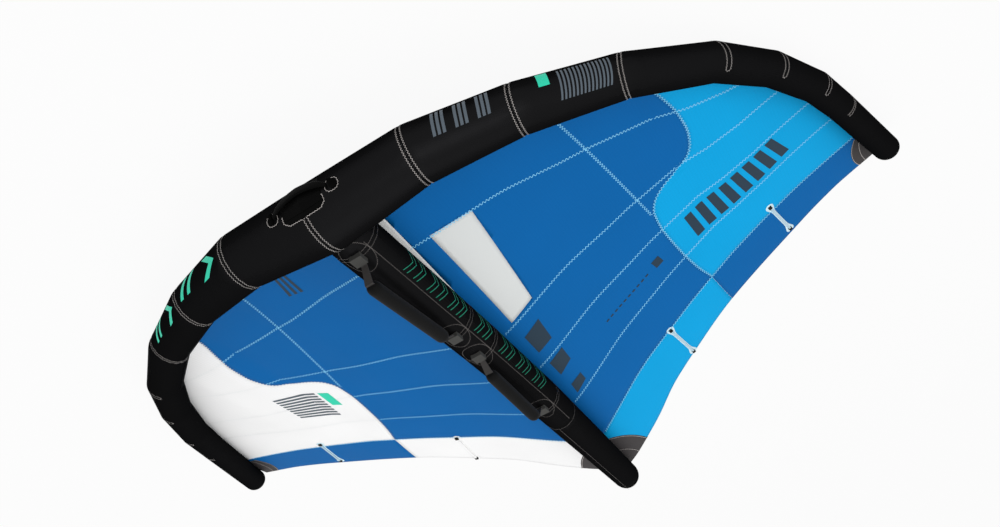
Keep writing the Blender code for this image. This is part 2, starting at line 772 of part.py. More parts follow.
def make_strut_handle(name, anchors, ends, heights, tube_cutter):
    across = Vector((1.0, 0.0, 0.0))
    feet = []
    for place, inward in zip(anchors, (1, -1)):
        y = place + inward * (ANCHOR_LENGTH / 2 + FIT_GAP)
        feet.append(Vector((0.0, y, strut_top(y) + PIVOT_HEIGHT)))
    axis = (feet[1] - feet[0]).normalized()
    turning = pivot(f"{name}_pivot", feet[0])
    grips = [Vector((0.0, y, strut_top(y) + h)) for y, h in zip(ends, heights)]
    knees = [feet[0] + axis * WEBBING_FOOT_LENGTH, feet[1] - axis * WEBBING_FOOT_LENGTH]
    path = [feet[0], knees[0], grips[0], grips[1], knees[1], feet[1]]
    widths = [WEBBING_FOOT_WIDTH] * 2 + [WEBBING_WIDTH] * 2 + [WEBBING_FOOT_WIDTH] * 2
    stops = band_stops(path, across, widths, WEBBING_THICKNESS)
    for end in (0, -1):
        stops[end] = (*stops[end][:2], across.cross(axis), WEBBING_FOOT_WIDTH, WEBBING_THICKNESS)
    add_piece(f"{name}_webbing", strap(stops), "grey_webbing", turning)

    grip_axis = (grips[1] - grips[0]).normalized()
    start = grips[0] + grip_axis * GRIP_INSET
    length = (grips[1] - grips[0]).length - 2 * GRIP_INSET
    up = across.cross(grip_axis)
    sections = []
    for along, share in GRIP_PROFILE_SHARES:
        centre = start + grip_axis * length * along
        turns = [2 * math.pi * i / GRIP_SIDES for i in range(GRIP_SIDES)]
        radius = GRIP_RADIUS * share
        sections.append([centre + radius * (math.cos(t) * across + math.sin(t) * up) for t in turns])
    grip = add_piece(f"{name}_grip", solid_loft(sections), "black_foam", turning, smooth=True)
    slot = []
    for along in (-OVERRUN, length + OVERRUN):
        centre = start + grip_axis * along
        half_width = WEBBING_WIDTH / 2 + FIT_GAP
        half_height = WEBBING_THICKNESS / 2 + FIT_GAP
        slot.append([centre + across * a * half_width + up * b * half_height for a, b in CORNERS])
    boolean(grip, add_cutter(f"{name}_slot_cutter", solid_loft(slot)))

    for place, end_name in zip(anchors, ("front", "rear")):
        bm = bmesh.new()
        height = ANCHOR_HEIGHT + ANCHOR_SINK
        level = strut_top(place) + (ANCHOR_HEIGHT - ANCHOR_SINK) / 2
        slope = math.atan2(axis.z, axis.y)
        box(bm, (ANCHOR_WIDTH, ANCHOR_LENGTH, height))
        bmesh.ops.rotate(bm, matrix=Matrix.Rotation(slope, 3, "X"), verts=bm.verts)
        bmesh.ops.translate(bm, vec=(0.0, place, level), verts=bm.verts)
        anchor = add_piece(f"{name}_anchor_{end_name}", bm, "grey_webbing")
        boolean(anchor, tube_cutter)


# Handle on the leading edge

def tube_place(distance):
    """Centre, axis and radius of the first run at a distance from the middle."""
    share = distance / RUN_LENGTHS[0]
    radius = STATION_RADII[0] + (STATION_RADII[1] - STATION_RADII[0]) * share
    return directions[0] * distance, radius


def front_facing(angle_deg):
    """Directions out of the leading edge's front, at an angle above straight ahead, and beside it."""
    angle = math.radians(angle_deg)
    return Vector((0.0, -math.cos(angle), math.sin(angle))), Vector((0.0, math.sin(angle), math.cos(angle)))


def make_front_handle(edge_cutter):
    outward, tangent = front_facing(FRONT_HANDLE_ANGLE_DEG)
    centre, radius = tube_place(FRONT_HANDLE_HALF)
    surface = centre.dot(outward) + radius
    offset = tangent * centre.dot(tangent)
    axis_place = outward * (surface + FRONT_HANDLE_PIVOT) + offset
    turning = pivot("leading_edge_handle_pivot", axis_place)

    middle_outward, _ = front_facing(FRONT_HANDLE_MIDDLE_ANGLE_DEG)
    reach = middle_outward * (STATION_RADII[0] + FRONT_HANDLE_MIDDLE_HEIGHT) - axis_place
    half = FRONT_HANDLE_HALF - FIT_GAP
    stops = []
    for side in (-1, 1):
        shares = ARCH_SHARES if side < 0 else ARCH_SHARES[-2::-1]
        for along, rise in shares:
            turn = FRONT_HANDLE_ANGLE_DEG + (FRONT_HANDLE_MIDDLE_ANGLE_DEG - FRONT_HANDLE_ANGLE_DEG) * rise
            facing, beside = front_facing(turn)
            place = axis_place + Vector((side * half * along, 0.0, 0.0)) + reach * rise
            width = FRONT_HANDLE_FOOT_WIDTH + (FRONT_HANDLE_WIDTH - FRONT_HANDLE_FOOT_WIDTH) * rise
            deep = FRONT_HANDLE_FOOT_THICKNESS + (FRONT_HANDLE_THICKNESS - FRONT_HANDLE_FOOT_THICKNESS) * rise
            stops.append((place, beside, facing, width, deep))
    add_piece("leading_edge_handle_strap", strap(stops), "black_foam", turning)

    for side, side_name in ((1, "right"), (-1, "left")):
        bm = bmesh.new()
        height = FRONT_HANDLE_PIVOT + FRONT_HANDLE_FOOT_WIDTH / 2
        box(bm, (FRONT_HANDLE_TAB, FRONT_HANDLE_TAB_WIDTH, height + ANCHOR_SINK))
        frame = Matrix((Vector((1.0, 0.0, 0.0)), tangent, -outward)).transposed().to_4x4()
        middle = surface + (height - ANCHOR_SINK) / 2
        x = side * (FRONT_HANDLE_HALF + FRONT_HANDLE_TAB / 2)
        frame.translation = outward * middle + offset + Vector((x, 0.0, 0.0))
        bmesh.ops.transform(bm, matrix=frame, verts=bm.verts)
        tab = add_piece(f"leading_edge_handle_tab_{side_name}", bm, "grey_webbing")
        boolean(tab, edge_cutter)

    near = ring(stations[0], ring_axis(0), STATION_RADII[0] + FIT_GAP)
    far = ring(stations[1], ring_axis(1), STATION_RADII[1] + FIT_GAP)
    half_share = PAD_HALF_LENGTH / RUN_LENGTHS[0]
    rows = []
    for share in (-half_share, 0.0, half_share):
        centre = stations[0].lerp(stations[1], abs(share))
        low = [a.lerp(b, abs(share)) for a, b in zip(near, far)]
        high = [point + (point - centre).normalized() * PAD_THICKNESS for point in low]
        loop = low[PAD_FIRST_SIDE:PAD_LAST_SIDE + 1] + high[PAD_FIRST_SIDE:PAD_LAST_SIDE + 1][::-1]
        rows.append(mirrored(loop, -1 if share < 0 else 1))
    add_piece("leading_edge_handle_pad", solid_loft(rows), "black_foam")


# Inflation valve

def cylinder(bm, radius, start, end, axis, sides=VALVE_SIDES):
    across = axis.orthogonal().normalized()
    other = axis.cross(across)
    turns = [2 * math.pi * i / sides for i in range(sides)]
    rows = []
    for place in (start, end):
        rows.append([place + radius * (math.cos(t) * across + math.sin(t) * other) for t in turns])
    rings = skin(bm, rows)
    bm.faces.new(rings[0])
    bm.faces.new(rings[1])


def make_valve(edge_cutter, casing):
    centre, radius = tube_place(VALVE_PLACE)
    back, down = ring_frame(directions[0])
    angle = math.radians(VALVE_SIDE_ANGLE_DEG)
    out = math.cos(angle) * back + math.sin(angle) * down
    seat = centre + out * radius
    top = seat + out * VALVE_HEIGHT

    bm = bmesh.new()
    cylinder(bm, VALVE_RADIUS, seat - out * VALVE_SINK, top, out)
    base = add_piece("valve_base", bm, "grey_rubber", smooth=True)
    boolean(base, edge_cutter)
    bm = bmesh.new()
    cylinder(bm, VALVE_NECK_RADIUS, seat - out * (CASING_WALL - FIT_GAP), top - out * FIT_GAP, out)
    boolean(base, add_cutter("valve_neck", bm), "UNION")
    bm = bmesh.new()
    cylinder(bm, VALVE_MOUTH, seat - out * OVERRUN, top + out * OVERRUN, out)
    boolean(base, add_cutter("valve_mouth_cutter", bm))
    ledge = seat + out * VALVE_LEDGE_HEIGHT
    bm = bmesh.new()
    cylinder(bm, VALVE_BORE, seat - out * OVERRUN, ledge, out)
    boolean(base, add_cutter("valve_bore_cutter", bm))
    bm = bmesh.new()
    cylinder(bm, VALVE_NECK_RADIUS + FIT_GAP, seat - out * VALVE_SINK * 2, top, out)
    boolean(casing, add_cutter("valve_hole_cutter", bm))

    disc = ledge - out * FIT_GAP
    carrier = pivot("valve_plunger_slide", disc)
    bm = bmesh.new()
    cylinder(bm, PLUNGER_RADIUS, disc - out * PLUNGER_DISC_HEIGHT, disc, out)
    plunger = add_piece("valve_plunger", bm, "white_webbing", carrier, smooth=True)
    bm = bmesh.new()
    foot = disc - out * PLUNGER_DISC_HEIGHT / 2
    cylinder(bm, PLUNGER_STEM_RADIUS, foot, disc + out * PLUNGER_STEM_HEIGHT, out)
    boolean(plunger, add_cutter("valve_stem", bm), "UNION")

    edge = directions[0].cross(out).normalized()
    hinge = top + out * (FIT_GAP + CAP_THICKNESS / 2) + edge * (VALVE_RADIUS + CAP_EAR_REACH / 2)
    carrier = pivot("valve_cap_pivot", hinge)
    bm = bmesh.new()
    cylinder(bm, VALVE_RADIUS, top + out * FIT_GAP, top + out * (FIT_GAP + CAP_THICKNESS), out)
    cap = add_piece("valve_cap", bm, "grey_rubber", carrier, smooth=True)
    bm = bmesh.new()
    plug = top - out * CAP_PLUG_DEPTH
    cylinder(bm, VALVE_MOUTH - CAP_PLUG_FIT, plug, top + out * (FIT_GAP + CAP_THICKNESS / 2), out)
    boolean(cap, add_cutter("valve_cap_plug", bm), "UNION")
    bm = bmesh.new()
    box(bm, (CAP_EAR_WIDTH, 2 * CAP_EAR_REACH, CAP_THICKNESS - 2 * FIT_GAP))
    frame = Matrix((directions[0], edge, out)).transposed().to_4x4()
    frame.translation = top + out * (FIT_GAP + CAP_THICKNESS / 2) + edge * VALVE_RADIUS
    bmesh.ops.transform(bm, matrix=frame, verts=bm.verts)
    boolean(cap, add_cutter("valve_cap_ear", bm), "UNION")


# Air hose and clip

def make_hose(edge_cutter, tube_cutter):
    start = Vector((HOSE_PLACE, 0.0, HOSE_HEIGHT))
    end = Vector((0.0, HOSE_STRUT_PLACE, HOSE_HEIGHT))
    corner = Vector((HOSE_PLACE, HOSE_STRUT_PLACE, HOSE_HEIGHT))
    up = Vector((0.0, 0.0, 1.0))
    bend = corner - Vector((HOSE_REACH, HOSE_REACH, 0.0))
    rows = ([], [])
    path = [(start, Vector((0.0, 1.0, 0.0)))]
    for i in range(HOSE_POINTS):
        turn = math.pi / 2 * i / (HOSE_POINTS - 1)
        out = Vector((math.cos(turn), math.sin(turn), 0.0))
        path.append((bend + out * HOSE_REACH, Vector((-out.y, out.x, 0.0))))
    path.append((end, Vector((-1.0, 0.0, 0.0))))
    for place, along in path:
        side = along.cross(up)
        for wall, radius in zip(rows, (HOSE_RADIUS, HOSE_RADIUS - HOSE_WALL)):
            turns = [2 * math.pi * k / HOSE_SIDES for k in range(HOSE_SIDES)]
            wall.append([place + radius * (math.cos(t) * side + math.sin(t) * up) for t in turns])
    hose = add_piece("air_hose", shell_loft(*rows), "black_plastic", smooth=True)
    boolean(hose, edge_cutter)
    boolean(hose, tube_cutter)

    turn = math.pi / 4
    out = Vector((math.cos(turn), math.sin(turn), 0.0))
    along = Vector((-out.y, out.x, 0.0))
    centre = bend + out * HOSE_REACH
    inside = HOSE_RADIUS + FIT_GAP * 2
    outside = inside + CLIP_WALL
    walls = []
    for reach in (outside, inside):
        wall = []
        for offset in (-CLIP_LENGTH / 2, CLIP_LENGTH / 2):
            row = centre + along * offset
            wall.append([row + out * a * reach + up * b * reach for a, b in CORNERS])
        walls.append(wall)
    add_piece("hose_clip_body", shell_loft(*walls), "black_plastic")
    hinge = centre + up * (outside + LEVER_THICKNESS) - along * CLIP_LENGTH / 2
    carrier = pivot("hose_clip_pivot", hinge)
    rows = []
    for reach in (0.0, LEVER_LENGTH):
        row = hinge + along * reach + up * (FIT_GAP - LEVER_THICKNESS / 2)
        rows.append([row + out * a * outside + up * b * LEVER_THICKNESS / 2 for a, b in CORNERS])
    add_piece("hose_clip_lever", solid_loft(rows), "grey_rubber", carrier)


# Laying the wing down

def rest_pitch():
    """Angle that lays one run of the tube level on each side."""
    levels = [(stations[i].y, stations[i].z - STATION_RADII[i]) for i in REST_RUN]
    (front_y, front_z), (back_y, back_z) = levels
    return math.atan2(front_z - back_z, back_y - front_y)


def lay_down(outer_panels):
    pitch = rest_pitch()
    up = Vector((0.0, math.sin(pitch), math.cos(pitch)))
    ground = min(stations[i].dot(up) - STATION_RADII[i] for i in REST_RUN) + REST_FLAT_DEPTH
    bm = bmesh.new()
    width = 2 * (HALF_SPAN + OVERRUN)
    box(bm, (width, CENTRE_CHORD, OVERRUN), (0.0, 0.0, -OVERRUN / 2))
    bmesh.ops.rotate(bm, matrix=Matrix.Rotation(-pitch, 3, "X"), verts=bm.verts)
    middle = (stations[REST_RUN[0]] + stations[REST_RUN[1]]) / 2
    place = up * ground + Vector((0.0, math.cos(pitch), -math.sin(pitch))) * middle.y
    bmesh.ops.translate(bm, vec=place, verts=bm.verts)
    ground_cutter = add_cutter("ground_cutter", bm)
    for panel in outer_panels:
        boolean(panel, ground_cutter)
    wing_frame.rotation_euler = (pitch, 0.0, 0.0)
    bpy.context.view_layer.update()
    graph = bpy.context.evaluated_depsgraph_get()
    depths = []
    for obj in parts.objects:
        if obj.type == "MESH":
            shape = obj.evaluated_get(graph)
            depths += [(shape.matrix_world @ vertex.co).y for vertex in shape.data.vertices]
    wing_frame.location = (0.0, -(min(depths) + max(depths)) / 2, -ground)
    bpy.context.view_layer.update()


outer_panels = make_leading_edge()
make_leading_edge_bladder()
edge_cutter = leading_edge_cutter()
tube_cutter = strut_cutter()
make_strut(edge_cutter)
make_strut_bladder()
make_canopy()
make_patches()
make_battens()
for handle, places in zip(("front_handle", "rear_handle"), zip(ANCHOR_PLACES, GRIP_ENDS, GRIP_HEIGHTS)):
    make_strut_handle(handle, *places, tube_cutter)
make_front_handle(edge_cutter)
make_valve(edge_cutter, parts.objects["leading_edge_centre_right"])
make_hose(edge_cutter, tube_cutter)
lay_down(outer_panels)
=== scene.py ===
"""An inflatable hand-held wing for wing foiling, laid on its back with its handles up."""

import math

import bmesh
import bpy
from mathutils import Matrix, Vector


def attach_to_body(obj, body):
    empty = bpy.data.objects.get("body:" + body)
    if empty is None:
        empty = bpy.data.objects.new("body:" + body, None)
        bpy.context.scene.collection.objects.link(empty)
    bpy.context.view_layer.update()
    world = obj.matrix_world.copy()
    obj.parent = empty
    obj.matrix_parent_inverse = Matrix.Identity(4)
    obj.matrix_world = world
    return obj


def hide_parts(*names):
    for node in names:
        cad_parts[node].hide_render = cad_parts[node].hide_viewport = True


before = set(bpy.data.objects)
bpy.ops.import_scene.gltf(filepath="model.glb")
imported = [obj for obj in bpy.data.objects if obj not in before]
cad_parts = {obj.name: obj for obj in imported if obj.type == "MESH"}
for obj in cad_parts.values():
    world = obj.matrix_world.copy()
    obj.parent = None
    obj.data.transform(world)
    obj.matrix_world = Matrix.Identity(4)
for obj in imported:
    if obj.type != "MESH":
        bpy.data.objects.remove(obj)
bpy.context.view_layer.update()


# Leading edge casing
# Black woven polyester, cut in four panels a side and sewn into one tube that bends at its seams.
# Air at about 0.6 bar holds it round, and each seam draws it in a little and puckers it.
RUN_LENGTHS = (0.256, 0.258, 0.296, 0.285, 0.223, 0.215, 0.164, 0.354)
RUN_SWEEPS_DEG = (4.0, 19.5, 31.0, 40.5, 52.0, 61.5, 70.0, 72.0)
RUN_DROPS_DEG = (9.5, 12.5, 16.0, 15.5, 12.5, 10.0, 7.5, 6.5)
STATION_RADII = (0.0865, 0.0745, 0.0635, 0.057, 0.0535, 0.050, 0.047, 0.044, 0.042)
EDGE_PANELS = (("centre", 0, 1), ("inner", 1, 2), ("middle", 2, 3), ("outer", 3, 8))
SIDES = ((1, "right"), (-1, "left"))
EDGE_SIDES = 72
EDGE_RING_STEP = 0.012
CASING_WALL = 0.0025
SEAM_GAP = 0.00015
CINCH_DEPTH = 0.0014
CINCH_REACH = 0.007
PUCKER_HEIGHT = 0.0006
PUCKER_COUNT = 17
PUCKER_REACH = 0.028
SEAM_BOWS = (0.0, 0.016, 0.031, 0.045, 0.0, 0.0, 0.0, 0.0, 0.0)
SEAM_BOW_DEG = 229.0
REST_RUN = (5, 6)
REST_FLAT_DEPTH = 0.001
REST_Y = -0.87445
# A wave texture of scale 1 repeats at this distance
WAVE_PERIOD = math.pi / 10


def run_direction(sweep_deg, drop_deg):
    """The direction of a run of the tube, from its sweep to the back and its drop to the floor."""
    sweep = math.radians(sweep_deg)
    drop = math.radians(drop_deg)
    level = math.cos(drop)
    return Vector((level * math.cos(sweep), level * math.sin(sweep), -math.sin(drop)))


directions = [run_direction(sweep, drop) for sweep, drop in zip(RUN_SWEEPS_DEG, RUN_DROPS_DEG)]
stations = [Vector((0.0, 0.0, 0.0))]
run_starts = [0.0]
for length, direction in zip(RUN_LENGTHS, directions):
    stations.append(stations[-1] + length * direction)
    run_starts.append(run_starts[-1] + length)
HALF_SPAN = stations[-1].x


def laid_down():
    """The move from the wing's own frame to the ground it lies on."""
    (front_y, front_z), (back_y, back_z) = [
        (stations[i].y, stations[i].z - STATION_RADII[i]) for i in REST_RUN
    ]
    pitch = math.atan2(front_z - back_z, back_y - front_y)
    up = Vector((0.0, math.sin(pitch), math.cos(pitch)))
    ground = min(stations[i].dot(up) - STATION_RADII[i] for i in REST_RUN) + REST_FLAT_DEPTH
    return Matrix.Translation((0.0, REST_Y, -ground)) @ Matrix.Rotation(pitch, 4, "X")


REST = laid_down()


def linear(hex_colour):
    """An sRGB hex colour as the linear values that a shader takes."""
    values = [int(hex_colour[i:i + 2], 16) / 255 for i in (1, 3, 5)]
    return tuple(v / 12.92 if v <= 0.04045 else ((v + 0.055) / 1.055) ** 2.4 for v in values) + (1.0,)


def add_node(tree, kind, settings=None, values=None, links=None):
    """One node with its settings, socket values and incoming links."""
    made = tree.nodes.new(kind)
    for key, value in (settings or {}).items():
        setattr(made, key, value)
    for key, value in (values or {}).items():
        made.inputs[key].default_value = value
    for key, source in (links or {}).items():
        tree.links.new(source, made.inputs[key])
    return made


def new_material(name, hex_colour, roughness, **sockets):
    """A material with its node tree and its shader."""
    made = bpy.data.materials.new(name)
    made.use_nodes = True
    shader = made.node_tree.nodes["Principled BSDF"]
    shader.inputs["Base Color"].default_value = linear(hex_colour)
    shader.inputs["Roughness"].default_value = roughness
    for socket, value in sockets.items():
        shader.inputs[socket.replace("_", " ")].default_value = value
    return made, made.node_tree, shader


def woven_casing():
    """Black plain-woven polyester, dyed in the yarn: dark, with the soft broad sheen of its filaments."""
    # The filaments shine where they are seen square on and fade to black towards the tube's edges.
    made, tree, shader = new_material(
        "woven_black_polyester", "#1b1b1c", 0.42, Metallic=0.6, Specular_IOR_Level=0.0,
        Specular_Tint=(0.0, 0.0, 0.0, 1.0),
    )
    cloth = add_node(tree, "ShaderNodeUVMap", {"uv_map": "cut"}).outputs["UV"]
    # The yarns are 0.4 mm apart, drawn 5 mm apart so that they show.
    yarns = [
        add_node(
            tree, "ShaderNodeTexWave", {"bands_direction": way},
            {"Scale": WAVE_PERIOD / 0.005, "Distortion": 0.4, "Detail": 1.0}, {"Vector": cloth},
        ).outputs["Fac"]
        for way in ("X", "Y")
    ]
    weave = add_node(tree, "ShaderNodeMath", {"operation": "MULTIPLY"}, None, {0: yarns[0], 1: yarns[1]})
    # Soft waves in the cloth, about 60 mm across.
    soft = add_node(tree, "ShaderNodeTexNoise", None, {"Scale": 1 / 0.06, "Detail": 2.0}, {"Vector": cloth})
    bump = add_node(
        tree, "ShaderNodeBump", None, {"Strength": 0.25, "Distance": 0.0004},
        {"Height": weave.outputs["Value"]},
    )
    swell = add_node(
        tree, "ShaderNodeBump", None, {"Strength": 0.3, "Distance": 0.003},
        {"Height": soft.outputs["Fac"], "Normal": bump.outputs["Normal"]},
    )
    tree.links.new(swell.outputs["Normal"], shader.inputs["Normal"])
    tone = add_node(
        tree, "ShaderNodeMapRange", None, {"To Min": 0.38, "To Max": 0.48}, {"Value": soft.outputs["Fac"]}
    )
    tree.links.new(tone.outputs["Result"], shader.inputs["Roughness"])
    return made


CASING = woven_casing()


def new_piece(name, points, faces, material, body="wing", corners=None, replaces=(), smooth=True):
    """A mesh in the wing's own frame, laid down and set to ride on a body, with a UV for each face corner."""
    laid = [REST @ Vector(point) for point in points]
    for place in laid:
        # The tube lies flat where it touches the floor
        place.z = max(place.z, 0.0)
    mesh = bpy.data.meshes.new(name)
    mesh.from_pydata(laid, [], faces)
    if corners:
        layer = mesh.uv_layers.new(name="cut")
        for loop, uv in zip(layer.data, corners):
            loop.uv = uv
    mesh.materials.append(material)
    if smooth:
        mesh.shade_smooth()
    piece = bpy.data.objects.new(name, mesh)
    bpy.context.scene.collection.objects.link(piece)
    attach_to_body(piece, body)
    if replaces:
        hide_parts(*replaces)
    return piece


def grid(rows, uvs, closed=False, flip=False, start=0):
    """Faces and corner UVs of a grid of points. A closed row joins its end to its start."""
    faces, corners = [], []
    width = len(rows[0])
    count = width if closed else width - 1
    for i in range(len(rows) - 1):
        for j in range(count):
            cells = [(i, j), (i, j + 1), (i + 1, j + 1), (i + 1, j)]
            if flip:
                cells.reverse()
            faces.append([start + a * width + b % width for a, b in cells])
            corners += [uvs[a][b] for a, b in cells]
    return faces, corners


def spread(first, last, steps):
    """Even values from first to last, both included."""
    return [first + (last - first) * k / steps for k in range(steps + 1)]


EDGE_TURNS = spread(0.0, 2 * math.pi, EDGE_SIDES)[:-1]


def ring_uvs(along, radius, sides=EDGE_SIDES):
    """UVs round a ring, with one more that closes it."""
    return [(along, turn * radius) for turn in spread(0.0, 2 * math.pi, sides)]


def ring_axis(index):
    """The direction that the ring at a station is square to, halfway between the runs beside it."""
    if index == 0:
        return Vector((1.0, 0.0, 0.0))
    if index == len(directions):
        return directions[-1]
    return (directions[index - 1] + directions[index]).normalized()


def ring_frame(axis):
    """Directions to the back and to the canopy side, square to the tube's axis."""
    down = Vector((0.0, 0.0, -1.0))
    down = (down - axis * down.dot(axis)).normalized()
    return axis.cross(down), down


def run_at(along):
    """The run of the tube at a distance along it, and the share of the run before that place."""
    index = max(i for i in range(len(RUN_LENGTHS)) if run_starts[i] <= along + 1e-9)
    return index, (along - run_starts[index]) / RUN_LENGTHS[index]


def on_edge(along, turn, lift=0.0):
    """A place on the right half of the leading edge and the direction out of it there."""
    index, share = run_at(along)
    rims = []
    for i in (index, index + 1):
        back, down = ring_frame(ring_axis(i))
        rims.append(stations[i] + (math.cos(turn) * back + math.sin(turn) * down) * STATION_RADII[i])
    centre = stations[index].lerp(stations[index + 1], share)
    place = rims[0].lerp(rims[1], share)
    out = (place - centre).normalized()
    return place + out * lift, out


def bowed(along, turn):
    """Where the cloth at a distance along the tube ends up: its ring seams bow to the middle at the front."""
    index, share = run_at(along)
    bow = SEAM_BOWS[index] + (SEAM_BOWS[index + 1] - SEAM_BOWS[index]) * share
    return along - bow * math.cos(turn - math.radians(SEAM_BOW_DEG))


def seam_draw(along, turn, seams):
    """How far the seams near a place draw the cloth in, with the small puckers beside them."""
    lift = 0.0
    for number, seam in enumerate(seams):
        away = abs(along - seam)
        lift -= CINCH_DEPTH * math.exp(-((away / CINCH_REACH) ** 2))
        wave = math.sin(PUCKER_COUNT * turn + number) * math.sin(math.pi * min(away / CINCH_REACH, 0.5))
        lift += PUCKER_HEIGHT * wave * math.exp(-away / PUCKER_REACH)
    return lift


EDGE_SEAMS = [run_starts[i] for i in range(4)]


def edge_rings(first, last):
    """Distances along the tube for its rings, closer together beside a seam."""
    marks = [SEAM_GAP]
    for i in range(first, last):
        steps = math.ceil(RUN_LENGTHS[i] / EDGE_RING_STEP)
        base = run_starts[i] - run_starts[first]
        marks += [base + RUN_LENGTHS[i] * k / steps for k in range(1 if i == first else 0, steps)]
    end = run_starts[last] - run_starts[first] - SEAM_GAP
    marks += [CINCH_REACH * k / 3 for k in (1, 2)] + [end - CINCH_REACH * k / 3 for k in (1, 2)] + [end]
    marks = sorted(marks)
    spaced = [marks[0]]
    for mark in marks[1:]:
        if mark - spaced[-1] > CINCH_REACH / 4:
            spaced.append(mark)
    spaced[-1] = end
    return [run_starts[first] + mark for mark in spaced]


def side_of(points, side):
    """Points of the right half, taken over to the other one where side is negative."""
    return [Vector((side * p.x, p.y, p.z)) for p in points]


def close_end(faces, corners, first, count, uv, reverse):
    """Adds a flat end to a tube, over the ring of points that starts at first."""
    end = list(range(first, first + count))
    faces.append(end[::-1] if reverse else end)
    corners.extend([uv] * count)


def closed_shell(name, outer, inner, uvs, side, nodes, capped=False):
    """A casing's wall from an outer and an inner set of rings. If capped, its last end is closed too."""
    width = len(outer[0])
    points = [p for row in outer + inner for p in side_of(row, side)]
    flip = side > 0
    faces, corners = grid(outer, uvs, True, flip)
    start = len(outer) * width
    more, more_corners = grid(inner, uvs, True, not flip, start)
    faces += more
    corners += more_corners
    for row, turned in ((0, not flip), (len(outer) - 1, flip)):
        if capped and row:
            close_end(faces, corners, row * width, width, uvs[row][0], turned)
            close_end(faces, corners, start + row * width, width, uvs[row][0], not turned)
            continue
        for k in range(width):
            a, b = row * width + k, row * width + (k + 1) % width
            face = [a, b, start + b, start + a]
            faces.append(face[::-1] if turned else face)
            corners += [uvs[row][k]] * 4
    return new_piece(name, points, faces, CASING, corners=corners, replaces=nodes)


def make_casing(place, first, last, side, side_name):
    """One panel of the leading edge's casing, from one seam to the next."""
    outer, inner, uvs = [], [], []
    for along in edge_rings(first, last):
        outer.append([on_edge(bowed(along, t), t, seam_draw(along, t, EDGE_SEAMS))[0] for t in EDGE_TURNS])
        inner.append([on_edge(bowed(along, t), t, -CASING_WALL)[0] for t in EDGE_TURNS])
        radius = (outer[-1][0] - outer[-1][EDGE_SIDES // 2]).length / 2
        uvs.append(ring_uvs(along, radius))
    name = f"edge_casing_{place}_{side_name}"
    closed_shell(name, outer, inner, uvs, side, [f"leading_edge_{place}_{side_name}"])


for side, side_name in SIDES:
    for place, first, last in EDGE_PANELS:
        make_casing(place, first, last, side, side_name)


# Leading edge tip caps
# Each tip of the tube is closed by a round cap of the same cloth, drawn up into a blunt dome.
CAP_STEPS = 10
CAP_TOP_SHARE = 0.97
TIP_CAP_DEPTH = 0.026
TIP_CAP_FULLNESS = 0.45
TIP_CAP_STRETCH = 2.0


def make_cap(name, node, end, axes, radius, depth, fullness, cloth_start, cloth_stretch, side=1):
    """A dome over the end of a tube. axes holds the tube's direction and the two across it."""
    axis, across, up = axes
    outer, inner, uvs = [], [], []
    for step in range(CAP_STEPS + 1):
        swing = math.pi / 2 * min(step / CAP_STEPS, CAP_TOP_SHARE)
        for rows, wall in ((outer, 0.0), (inner, CASING_WALL)):
            reach = (radius - wall) * math.cos(swing) ** fullness
            centre = end + axis * SEAM_GAP + axis * (depth - wall) * math.sin(swing)
            rows.append([centre + (math.cos(t) * across + math.sin(t) * up) * reach for t in EDGE_TURNS])
        uvs.append(ring_uvs(cloth_start + step / CAP_STEPS * depth * cloth_stretch, radius))
    closed_shell(name, outer, inner, uvs, side, [node], capped=True)


for side, side_name in SIDES:
    make_cap(
        f"edge_casing_tip_cap_{side_name}", f"leading_edge_tip_cap_{side_name}", stations[-1],
        (directions[-1], *ring_frame(directions[-1])), STATION_RADII[-1], TIP_CAP_DEPTH,
        TIP_CAP_FULLNESS, 0.0, TIP_CAP_STRETCH, side,
    )


# Strut casing
# The same black cloth, sewn in five panels into the tube down the middle that carries the handles.
# Its front end is cut to meet the leading edge all round, and its rear end is a drawn-up cap.
STRUT_SEAMS = (0.035, 0.12, 0.567, 0.707, 1.12, 1.25, 1.50, 1.81)
STRUT_HEIGHTS = (-0.016, -0.0244, -0.0358, -0.039, -0.040, -0.0348, -0.0243, -0.0086)
STRUT_RADII = (0.0545, 0.0648, 0.0643, 0.0639, 0.0606, 0.0588, 0.0552, 0.0502)
STRUT_RING_SEAMS = STRUT_SEAMS[1:6]
STRUT_PANELS = ((0, 2), (2, 3), (3, 4), (4, 5), (5, 7))
STRUT_CAP_DEPTH = 0.040
STRUT_CAP_FULLNESS = 0.3
STRUT_CAP_STRETCH = 1.4
BISECTIONS = 24


def blend_in(table, value):
    """Straight-line value between the points of a table, held level past its ends."""
    if value <= table[0][0]:
        return table[0][1]
    for (x0, y0), (x1, y1) in zip(table, table[1:]):
        if value <= x1:
            return y0 + (y1 - y0) * (value - x0) / (x1 - x0)
    return table[-1][1]


def on_strut(y, turn, lift=0.0):
    """A place on the strut and the direction out of it; turn 0 is +X and a quarter turn faces the handles."""
    height = blend_in(list(zip(STRUT_SEAMS, STRUT_HEIGHTS)), y)
    radius = blend_in(list(zip(STRUT_SEAMS, STRUT_RADII)), y)
    out = Vector((math.cos(turn), 0.0, math.sin(turn)))
    return Vector((0.0, y, height)) + out * (radius + lift), out


def strut_top(y):
    """Height of the strut's surface on the handles' side."""
    return on_strut(y, math.pi / 2)[0].z


def strut_start(turn):
    """How far back a line along the strut's surface comes clear of the leading edge."""
    low, high = 0.0, STRUT_SEAMS[1]
    for _ in range(BISECTIONS):
        y = (low + high) / 2
        place = on_strut(y, turn)[0]
        place.x = abs(place.x)
        along = max(place.dot(directions[0]), 0.0)
        radius = STATION_RADII[0] + (STATION_RADII[1] - STATION_RADII[0]) * along / RUN_LENGTHS[0]
        if (place - directions[0] * along).length > radius + SEAM_GAP:
            high = y
        else:
            low = y
    return high


